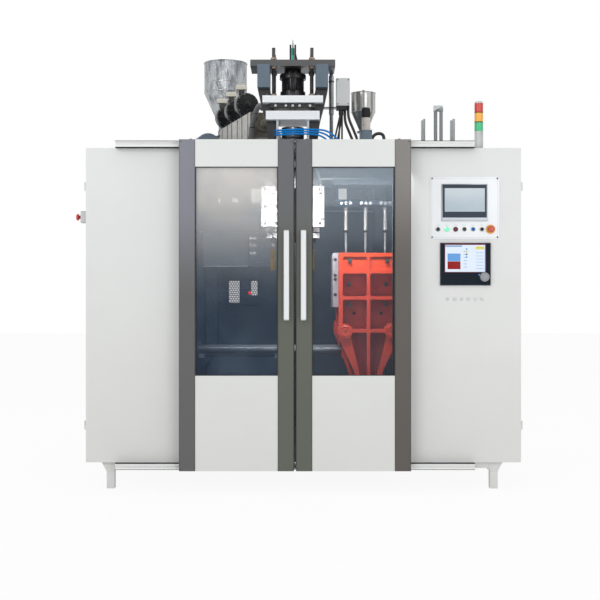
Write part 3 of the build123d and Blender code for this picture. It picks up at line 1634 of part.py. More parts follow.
def carriage():
    """Carriage on the guide bars: two bearing blocks, bridge, cheeks and legs for the tie bars."""
    x0 = blow_x
    half = cheek_half_thickness
    bottom = guide_z - carriage_below
    bridge_top = bridge_bottom + bridge_thickness
    cheek_x = (x0 - platen_half, x0 + platen_half)
    parts = []
    for y, outer in ((guide_front_y, -1), (guide_back_y, 1)):
        block = span((x0 - carriage_half, x0 + carriage_half), (y - half, y + half),
                     (bottom, bridge_bottom + 1))
        parts.append(block - rod((-bay_half, y, guide_z), (bay_half, y, guide_z),
                                 guide_radius + running_gap))
        edge = tuple(sorted((y + outer * half, y)))
        parts.append(span(cheek_x, edge, (bridge_top - 1, guide_z + cheek_above)))
        leg_edge = tuple(sorted((y + outer * half, y + outer * (guide_radius + 3))))
        leg_x = (x0 - lower_leg_half, x0 + lower_leg_half)
        parts.append(span(leg_x, leg_edge, (lower_tie_z - lower_leg_below, bottom + 1)))
    parts.append(span(cheek_x, (guide_front_y - half, guide_back_y + half), (bridge_bottom, bridge_top)))
    parts.append(span((lug_x, lug_x + lug_thickness), (head_y - lug_half, head_y + lug_half),
                      (shuttle_z - lug_half, bridge_bottom + 1)))
    body = fused(parts)
    for x, z in tie_places():
        body = body - front_disc(x, guide_front_y - 2 * half, z, tie_radius + running_gap, guide_back_y)
    return body


def shuttle_cylinder():
    """Cylinder that shifts the carriage, its rear cap on the left guide beam."""
    right = shuttle_left + shuttle_body_length
    half = shuttle_cap_half
    y = (head_y - half, head_y + half)
    z = (shuttle_z - half, shuttle_z + half)
    body = rod((shuttle_left, head_y, shuttle_z), (right, head_y, shuttle_z), shuttle_radius)
    body = body + span((-bay_side + guide_beam, shuttle_left + shuttle_cap_length), y, z)
    body = body + span((right - shuttle_cap_length, right), y, z)
    bore_start = shuttle_left + shuttle_end_wall
    return body - rod((bore_start, head_y, shuttle_z), (right + 1, head_y, shuttle_z),
                      shuttle_rod_radius + running_gap)


def shuttle_rod():
    """Rod of the shuttle cylinder, fixed to the carriage lug."""
    start = shuttle_left + shuttle_body_length - shuttle_engaged
    return rod((start, head_y, shuttle_z), (lug_x, head_y, shuttle_z), shuttle_rod_radius)


def blow_bracket():
    """Bracket under the joists with the blow cylinder and two guide bores."""
    half = die_pitch + bracket_margin
    x = (blow_x - half, min(blow_x + half, bay_side))
    y = (head_y - bracket_depth / 2, head_y + bracket_depth / 2)
    z = (bracket_bottom, bracket_bottom + bracket_height)
    under_deck = cabinet_top - deck_plate
    plate = span(x, y, z)
    plate = plate + span((x[0], x[0] + bracket_arm), y, (z[1] - 1, under_deck))
    plate = plate + span((x[1] - bracket_arm, x[1]), y, (z[1] - 1, cabinet_top - top_beam))
    plate = plate + rod((blow_x, head_y, z[1] - 1), (blow_x, head_y, under_deck), blow_cylinder_radius)
    for offset in (-pin_guide_offset, 0, pin_guide_offset):
        x_rod = blow_x + offset
        bore_top = under_deck - running_room
        plate = plate - rod((x_rod, head_y, z[0] - 1), (x_rod, head_y, bore_top),
                            pin_guide_radius + running_gap)
    return plate


def blow_pins():
    """Carrier with three blow pins, two guide rods and the rod of the blow cylinder."""
    half = die_pitch + carrier_margin
    z = (carrier_bottom, carrier_bottom + carrier_height)
    body = span((blow_x - half, blow_x + half), (head_y - carrier_depth / 2, head_y + carrier_depth / 2), z)
    tip = mould_top + pin_clearance
    collar_z = mould_top + collar_rise
    for index in (-1, 0, 1):
        px = blow_x + index * die_pitch
        body = body + rod((px, head_y, collar_z), (px, head_y, z[0] + 1), pin_upper_radius)
        body = body + rod((px, head_y, collar_z), (px, head_y, collar_z + collar_height), collar_radius)
        body = body + rod((px, head_y, tip + pin_tip_height), (px, head_y, collar_z + 1), pin_lower_radius)
        body = body + rod((px, head_y, tip), (px, head_y, tip + pin_tip_height + 1), pin_tip_radius)
    for offset, reach in ((-pin_guide_offset, pin_guide_engaged), (0, blow_rod_reach),
                          (pin_guide_offset, pin_guide_engaged)):
        rod_top = bracket_bottom + reach
        body = body + rod((blow_x + offset, head_y, z[1] - 1), (blow_x + offset, head_y, rod_top),
                          pin_guide_radius)
    return body


def lift_places():
    """X, Y, radius and top of each lift rod."""
    return [(bay_half + inset, head_y + behind, radius, cabinet_top + above) for inset, behind, radius,
            above in lift_rods]


def lift():
    """Six rods through the right cabinet's top, tied by a plate inside and a cap on the middle pair."""
    places = lift_places()
    xs = [place[0] for place in places]
    ys = [place[1] for place in places]
    margin = lift_plate_margin
    plate_z = cabinet_top - lift_plate_drop
    body = span((min(xs) - margin, max(xs) + margin), (min(ys) - margin, max(ys) + margin),
                (plate_z, plate_z + lift_plate_height))
    for x, y, radius, top in places:
        body = body + rod((x, y, plate_z + 1), (x, y, top), radius)
    first, second = places[2], places[3]
    side = lift_cap_margin
    return body + span((first[0] - side, second[0] + side), (first[1] - side, first[1] + side),
                       (first[3] - 1, first[3] + lift_cap_height))


def cabinet_equipment():
    """Hydraulic tank and pump in the left cabinet, electrical plate with its devices in the right one."""
    floor = cabinet_bottom + wall
    tank_x = (left_side_x + wall + tank_margin, -bay_half - wall - tank_margin)
    tank_top = floor + tank_height
    tank = span(tank_x, (tank_front_y, tank_front_y + tank_length), (floor, tank_top))
    pump_x = (left_side_x - bay_half) / 2
    pump_y = tank_front_y + (tank_length - pump_length) / 2
    pump_z = tank_top + pump_radius + skin
    pump = rod((pump_x, pump_y, pump_z), (pump_x, pump_y + pump_length, pump_z), pump_radius)
    pump = pump + span((pump_x - pump_half, pump_x + pump_half), (pump_y, pump_y + pump_length),
                       (tank_top, pump_z))
    inner = bay_half + wall
    front = inner + board_thickness
    low = floor + board_bottom
    board = [span((inner, front), (board_front_y, board_front_y + board_length), (low, low + board_height))]
    device_y = (board_front_y + device_margin, board_front_y + board_length - device_margin)
    for index in range(device_rows):
        z = low + device_height + index * device_pitch
        board.append(span((front - 1, front + device_depth), device_y, (z, z + device_height)))
    return apart([tank, pump, fused(board)])


def main():
    """Build every piece, shift it to the row's origin and write it."""
    os.makedirs("parts", exist_ok=True)
    left_inner = -bay_half
    nodes = {
        "base_frame": base_frame(),
        "upper_frame": apart([upper_frame(), blow_bracket()]),
        "rear_guard": rear_guard(),
        "door_rails": door_rails(),
        "left_cabinet": cabinet(left_side_x, left_inner),
        "right_cabinet": right_cabinet(),
        "left_service_door": service_door(left_side_x, 1),
        "right_service_door": service_door(right_side_x, -1),
        "left_door_frame": door_frame(),
        "left_door_panels": door_panels(),
        "left_door_window": door_window(),
        "left_door_handle": door_handle(),
        "operator_plate": apart([operator_plate(), dome_heads()]),
        "panel_bezels": apart([panel_bezels(), button_bezels()]),
        "panel_screens": apart([screen_box(True), screen_box(False)]),
        "pilot_lamps": pilot_lamps(),
        "key_switch": turned_cap(0, *key_grip),
        "selector_switch": turned_cap(3, *selector_grip),
        "blue_button": push_cap(4),
        "black_button": push_cap(5),
        "stop_collar": stop_collar(),
        "stop_button": stop_button(),
        "control_dial": control_dial(),
        "side_stop_box": side_stop_box(),
        "side_stop_button": side_stop_button(),
        "signal_tower": signal_tower(),
        "signal_lenses": signal_lenses(),
        "die_head": die_head(),
        "head_guards": head_guards(),
        "tower_legs": apart([tower_legs(), hose_post_solid()]),
        "tower_top": tower_top(),
        "upper_plate": upper_plate(),
        "crosshead": crosshead(),
        "head_cylinder": head_cylinder(),
        "head_sensor": head_sensor(),
        "bright_bars": bright_bars(),
        "extruder_barrel": extruder_barrel(),
        "blowers": blowers(),
        "hoppers": apart([main_hopper(), small_hopper()]),
        "extruder_drive": extruder_drive(),
        "small_extruder": small_extruder(),
        "junction_box": junction_box(),
        "conduits": conduits(),
        "air_hoses": air_hoses(),
        "front_platen": front_platen(),
        "back_platen": back_platen(),
        "moulds_front": mould_half(True),
        "moulds_back": mould_half(False),
        "tie_bars": tie_bars(),
        "clamp_yoke": clamp_yoke(),
        "clamp_rod": clamp_rod(),
        "carriage": apart([carriage(), shuttle_rod()]),
        "shuttle_cylinder": shuttle_cylinder(),
        "blow_pins": blow_pins(),
        "lift": lift(),
        "cabinet_equipment": cabinet_equipment(),
    }
    for name in ("door_frame", "door_panels", "door_window", "door_handle"):
        nodes["right_" + name] = mirrored(nodes["left_" + name])
    shift = Pos(0, -middle_y, 0)
    for name, shape in nodes.items():
        export_step(shift * shape, f"parts/{name}.step")
    print(len(nodes), "nodes")


main()
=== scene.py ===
"""Blow moulding machine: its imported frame, dressed with finishes and fine pieces."""

import json
import logging
import math
from dataclasses import dataclass
from enum import Enum
from typing import Iterable, Sequence

import bmesh
import bpy
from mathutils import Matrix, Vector

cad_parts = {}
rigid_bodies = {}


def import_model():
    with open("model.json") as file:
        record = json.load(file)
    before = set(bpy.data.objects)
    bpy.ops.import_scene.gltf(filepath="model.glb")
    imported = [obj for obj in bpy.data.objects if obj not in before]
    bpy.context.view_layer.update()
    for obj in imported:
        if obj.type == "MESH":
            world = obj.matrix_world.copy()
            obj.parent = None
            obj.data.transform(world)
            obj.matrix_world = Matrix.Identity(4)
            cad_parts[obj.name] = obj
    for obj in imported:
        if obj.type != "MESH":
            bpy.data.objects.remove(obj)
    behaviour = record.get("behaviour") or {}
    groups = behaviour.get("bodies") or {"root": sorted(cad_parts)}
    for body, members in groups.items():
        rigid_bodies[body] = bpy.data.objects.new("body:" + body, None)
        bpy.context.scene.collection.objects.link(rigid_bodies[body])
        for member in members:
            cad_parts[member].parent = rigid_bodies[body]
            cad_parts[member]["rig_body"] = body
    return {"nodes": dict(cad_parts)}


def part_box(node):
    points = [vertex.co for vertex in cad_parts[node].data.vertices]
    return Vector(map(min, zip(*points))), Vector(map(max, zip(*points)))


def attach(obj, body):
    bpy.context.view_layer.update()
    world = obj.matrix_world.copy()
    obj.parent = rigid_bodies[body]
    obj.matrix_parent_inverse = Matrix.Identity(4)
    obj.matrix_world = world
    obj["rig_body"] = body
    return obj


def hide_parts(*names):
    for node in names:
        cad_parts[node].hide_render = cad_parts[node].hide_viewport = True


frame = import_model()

LOG = logging.getLogger("blow_moulding_machine")
Point = tuple[float, float, float]
Colour = tuple[float, float, float]
Span = tuple[float, float]
Outline = Sequence[tuple[float, float]]
Feeds = dict[str | int, object]
Node = bpy.types.Node
Socket = bpy.types.NodeSocket
NodeTree = bpy.types.NodeTree
Mesh = bpy.types.Mesh

MIDDLE_Y = 1.1975
"""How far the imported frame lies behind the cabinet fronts, in metres."""
SHARP_ANGLE = math.radians(33)
"""Angle past which an edge shows sharp."""
SOFTENED_ANGLE = math.radians(50)
"""Angle past which a carried-over edge is broken."""
MERGE_DISTANCE = 2e-5
"""How near two corners of a carried-over mesh are merged, in metres."""
COLUMN_WIDTH = 220
"""Room for a node in its tree."""
FRONT: Point = (0, -1, 0)
BACK: Point = (0, 1, 0)
UP: Point = (0, 0, 1)


def place(x: float, y: float, z: float) -> Point:
    """Turns millimetres from the door gap, the cabinet fronts and the floor into the frame's metres."""
    return (x / 1000, y / 1000 - MIDDLE_Y, z / 1000)


def rgb(red: float, green: float, blue: float) -> Colour:
    """Turns a colour read off the photograph into the linear values a shader takes.

    Args:
        red: Red from 0 to 255.
        green: Green from 0 to 255.
        blue: Blue from 0 to 255.

    Returns:
        The linear colour.
    """
    def channel(value: float) -> float:
        """One channel, from the display curve to linear light."""
        share = value / 255
        return share / 12.92 if share <= 0.04045 else ((share + 0.055) / 1.055) ** 2.4
    return (channel(red), channel(green), channel(blue))


def turns(count: int, start: float = 0.0) -> list[float]:
    """Evenly spaced angles of a full turn, the first one a share of a step past zero."""
    return [2 * math.pi * (step + start) / count for step in range(count)]


class Grain(Enum):
    """Which way a surface's fine grain runs."""

    EVEN = (1.0, 1.0, 1.0)
    ALONG_X = (0.02, 1.0, 1.0)
    ALONG_Z = (1.0, 1.0, 0.02)
    STREAK_Z = (1.0, 1.0, 0.05)
    WRAP = (1.0, 1.0, 0.35)


class NodeBoard:
    """Places and wires the nodes of one tree, left to right."""

    def __init__(self, tree: NodeTree) -> None:
        """Keeps the tree and the next free column."""
        self.tree = tree
        self.column = 0

    def add(self, kind: str, feeds: Feeds | None = None, **values: object) -> Node:
        """Adds a node, sets its properties and feeds its inputs.

        Args:
            kind: The node's type name.
            feeds: A socket or a value for each input, by name or number.
            values: Properties of the node, by name.

        Returns:
            The new node.
        """
        node = self.tree.nodes.new(kind)
        node.location = (self.column * COLUMN_WIDTH, 0)
        self.column += 1
        for name, value in values.items():
            setattr(node, name, value)
        self.feed(node, feeds or {})
        return node

    def feed(self, node: Node, feeds: Feeds) -> None:
        """Links or sets inputs of a node.

        Args:
            node: The node.
            feeds: A socket or a value for each input, by name or number.
        """
        for name, value in feeds.items():
            if isinstance(value, Socket):
                self.tree.links.new(value, node.inputs[name])
            elif value is not None:
                node.inputs[name].default_value = value

    def math(self, operation: str, first: object, second: object = None) -> Socket:
        """The result of a math node fed by sockets or numbers."""
        return self.add("ShaderNodeMath", {0: first, 1: second}, operation=operation).outputs[0]

    def mix(self, factor: object, first: object, second: object) -> Socket:
        """The mix of two colours, each a socket or a colour; a factor of 0 gives the first one."""
        colours = [value if isinstance(value, Socket) else (*value, 1.0) for value in (first, second)]
        return self.add("ShaderNodeMix", {0: factor, 6: colours[0], 7: colours[1]}, data_type="RGBA").outputs[2]


class SurfaceEffects:
    """Shader groups that the finishes share: fine grain, and dirt with dust, whose patches some finishes use for
    painted reflection and sheen.
    """

    def __init__(self) -> None:
        """Builds each group once."""
        self.grain = self.build_grain()
        self.soil_and_reflection = self.build_soil_and_reflection()

    def open_group(self, name: str, inputs: Sequence[tuple[str, str, object]],
                   outputs: Sequence[tuple[str, str]]) -> tuple[NodeBoard, Node, Node]:
        """Starts a shader group with named sockets and a Stretch input.

        Args:
            name: The group's name.
            inputs: Name, socket type and default of each input.
            outputs: Name and socket type of each output.

        Returns:
            The board, the group's input node and its output node.
        """
        tree = bpy.data.node_groups.new(name, "ShaderNodeTree")
        for label, kind, default in (*inputs, ("Stretch", "NodeSocketVector", (1, 1, 1))):
            tree.interface.new_socket(label, in_out="INPUT", socket_type=kind).default_value = default
        for label, kind in outputs:
            tree.interface.new_socket(label, in_out="OUTPUT", socket_type=kind)
        board = NodeBoard(tree)
        return board, board.add("NodeGroupInput"), board.add("NodeGroupOutput")

    def noise(self, board: NodeBoard, entry: Node, position: Socket, feeds: Feeds) -> Socket:
        """Noise in stretched object coordinates.

        Args:
            board: The group's board.
            entry: Its input node, with Scale and Stretch.
            position: Object coordinates.
            feeds: The noise node's other inputs.

        Returns:
            The noise's height.
        """
        stretched = board.add("ShaderNodeVectorMath", {0: position, 1: entry.outputs["Stretch"]}, operation="MULTIPLY")
        feeds = {**feeds, "Vector": stretched.outputs[0], "Scale": entry.outputs["Scale"]}
        return board.add("ShaderNodeTexNoise", feeds).outputs["Fac"]

    def build_grain(self) -> NodeTree:
        """Fine grain: a height for bump and a shift for roughness.

        Returns:
            The group, with Scale, Roughness, Spread and Stretch as inputs.
        """
        board, entry, leave = self.open_group(
            "fine grain",
            [("Scale", "NodeSocketFloat", 300.0), ("Roughness", "NodeSocketFloat", 0.4),
             ("Spread", "NodeSocketFloat", 0.1)],
            [("Height", "NodeSocketFloat"), ("Roughness", "NodeSocketFloat")])
        position = board.add("ShaderNodeTexCoord").outputs["Object"]
        fine = self.noise(board, entry, position, {"Detail": 3.0})
        broad = board.add("ShaderNodeTexNoise", {"Scale": 4.0, "Detail": 4.0, "Vector": position}).outputs["Fac"]
        centred = board.math("SUBTRACT", board.math("ADD", fine, broad), 1.0)
        shift = board.math("MULTIPLY", centred, entry.outputs["Spread"])
        board.feed(leave, {"Height": fine, "Roughness": board.math("ADD", shift, entry.outputs["Roughness"])})
        return board.tree

    def build_soil_and_reflection(self) -> NodeTree:
        """Cloudy patches of a second colour, and dust of it on what faces up; the patches are dirt on most finishes,
        painted reflection on the hoppers and windows and painted sheen on the touch screen.

        Returns:
            The group, with Colour, Soil and reflection, Cloud, Dust, Scale and Stretch as inputs.
        """
        board, entry, leave = self.open_group(
            "soil and dust",
            [("Colour", "NodeSocketColor", (0.8, 0.8, 0.8, 1)), ("Soil and reflection", "NodeSocketColor", (0.3, 0.28, 0.25, 1)),
             ("Cloud", "NodeSocketFloat", 0.08), ("Dust", "NodeSocketFloat", 0.1), ("Scale", "NodeSocketFloat", 3.0)],
            [("Colour", "NodeSocketColor"), ("Mask", "NodeSocketFloat")])
        position = board.add("ShaderNodeTexCoord").outputs["Object"]
        cloud = self.noise(board, entry, position, {"Detail": 6.0, "Roughness": 0.62})
        ramp = board.add("ShaderNodeMapRange", {"From Min": 0.42, "From Max": 0.72, "Value": cloud})
        spots = board.math("MULTIPLY", ramp.outputs["Result"], entry.outputs["Cloud"])
        facing = board.add("ShaderNodeSeparateXYZ", {0: board.add("ShaderNodeNewGeometry").outputs["Normal"]})
        upward = board.math("MAXIMUM", facing.outputs["Z"], 0.0)
        dust = board.math("MULTIPLY", board.math("MULTIPLY", upward, cloud), entry.outputs["Dust"])
        mask = board.math("MINIMUM", board.math("ADD", spots, dust), 1.0)
        board.feed(leave, {"Colour": board.mix(mask, entry.outputs["Colour"], entry.outputs["Soil and reflection"]), "Mask": mask})
        return board.tree


@dataclass(frozen=True)
class Finish:
    """One finish of the machine: a colour with its grain, dirt and gloss, and on some finishes painted shade,
    reflection and sheen.
    """

    name: str
    colour: Colour
    roughness: float = 0.4
    spread: float = 0.10
    metallic: float = 0.0
    coat: float = 0.0
    grain: Grain = Grain.EVEN
    scale: float = 400.0
    bump: float = 0.05
    depth: float = 0.0004
    # Colour of the cloudy patches: dirt on most finishes, painted reflection on the hoppers and windows, painted sheen
    # on the touch screen.
    soil_and_reflection: Colour = (0.32, 0.30, 0.27)
    cloud: float = 0.06
    dust: float = 0.08
    soil_scale: float = 3.0
    alpha: float = 1.0
    specular: float = 0.5
    glow: float = 0.0
    # Colour at low_z, blending into colour by high_z: painted shade on the cabinets, door panels and bay, painted
    # reflection on the door profiles, painted reflection above painted shade on the windows, painted sheen on the
    # touch screen.
    low_colour: Colour | None = None
    low_z: float = 1.15
    high_z: float = 1.80
    low_alpha: float | None = None

    def build(self, effects: SurfaceEffects) -> bpy.types.Material:
        """Makes the material.

        Args:
            effects: The shared shader groups.

        Returns:
            The material, with its shader and the groups that feed it.
        """
        material = bpy.data.materials.new(self.name)
        material.use_nodes = True
        material.diffuse_color = (*self.colour, self.alpha)
        board = NodeBoard(material.node_tree)
        shader = material.node_tree.nodes["Principled BSDF"]
        colour, alpha = (*self.colour, 1), self.alpha
        # Painted light on some finishes: the colour, and on the windows the alpha, change with height.
        if self.low_colour:
            share = self.height_share(board)
            colour = board.mix(share, self.low_colour, self.colour)
            if self.low_alpha is not None:
                alpha = board.math("ADD", board.math("MULTIPLY", share, self.alpha - self.low_alpha), self.low_alpha)
        stretch = self.grain.value
        soil_and_reflection = board.add("ShaderNodeGroup", {
            "Colour": colour, "Soil and reflection": (*self.soil_and_reflection, 1), "Cloud": self.cloud, "Dust": self.dust,
            "Scale": self.soil_scale, "Stretch": stretch}, node_tree=effects.soil_and_reflection).outputs["Colour"]
        grain = board.add("ShaderNodeGroup", {
            "Scale": self.scale, "Stretch": stretch, "Roughness": self.roughness, "Spread": self.spread},
            node_tree=effects.grain)
        bump = board.add("ShaderNodeBump", {
            "Strength": self.bump, "Distance": self.depth, "Height": grain.outputs["Height"]})
        board.feed(shader, {
            "Base Color": soil_and_reflection, "Roughness": grain.outputs["Roughness"], "Normal": bump.outputs["Normal"],
            "Metallic": self.metallic, "Coat Weight": self.coat, "Specular IOR Level": self.specular, "Alpha": alpha})
        if self.glow:
            board.feed(shader, {"Emission Color": soil_and_reflection, "Emission Strength": self.glow})
        if self.alpha < 1:
            material.surface_render_method = "BLENDED"
        return material

    def height_share(self, board: NodeBoard) -> Socket:
        """How far a point is up from the low height to the high one.

        Args:
            board: The material's board.

        Returns:
            A value from 0 at the low height to 1 at the high one.
        """
        position = board.add("ShaderNodeTexCoord").outputs["Object"]
        height = board.add("ShaderNodeSeparateXYZ", {0: position}).outputs["Z"]
        span = board.add("ShaderNodeMapRange", {"From Min": self.low_z, "From Max": self.high_z, "Value": height},
                         interpolation_type="SMOOTHSTEP")
        return span.outputs["Result"]


class FinishBook:
    """Builds each finish once and hands it out by name."""

    def __init__(self, effects: SurfaceEffects, finishes: Iterable[Finish]) -> None:
        """Builds the materials of the finishes."""
        self.materials = {finish.name: finish.build(effects) for finish in finishes}

    def material(self, name: str) -> bpy.types.Material:
        """The material of that finish."""
        return self.materials[name]

    def dress(self, node: str, name: str) -> None:
        """Gives a node of the frame a finish.

        Args:
            node: The frame's node.
            name: The finish.
        """
        mesh = frame["nodes"][node].data
        mesh.materials.clear()
        mesh.materials.append(self.material(name))


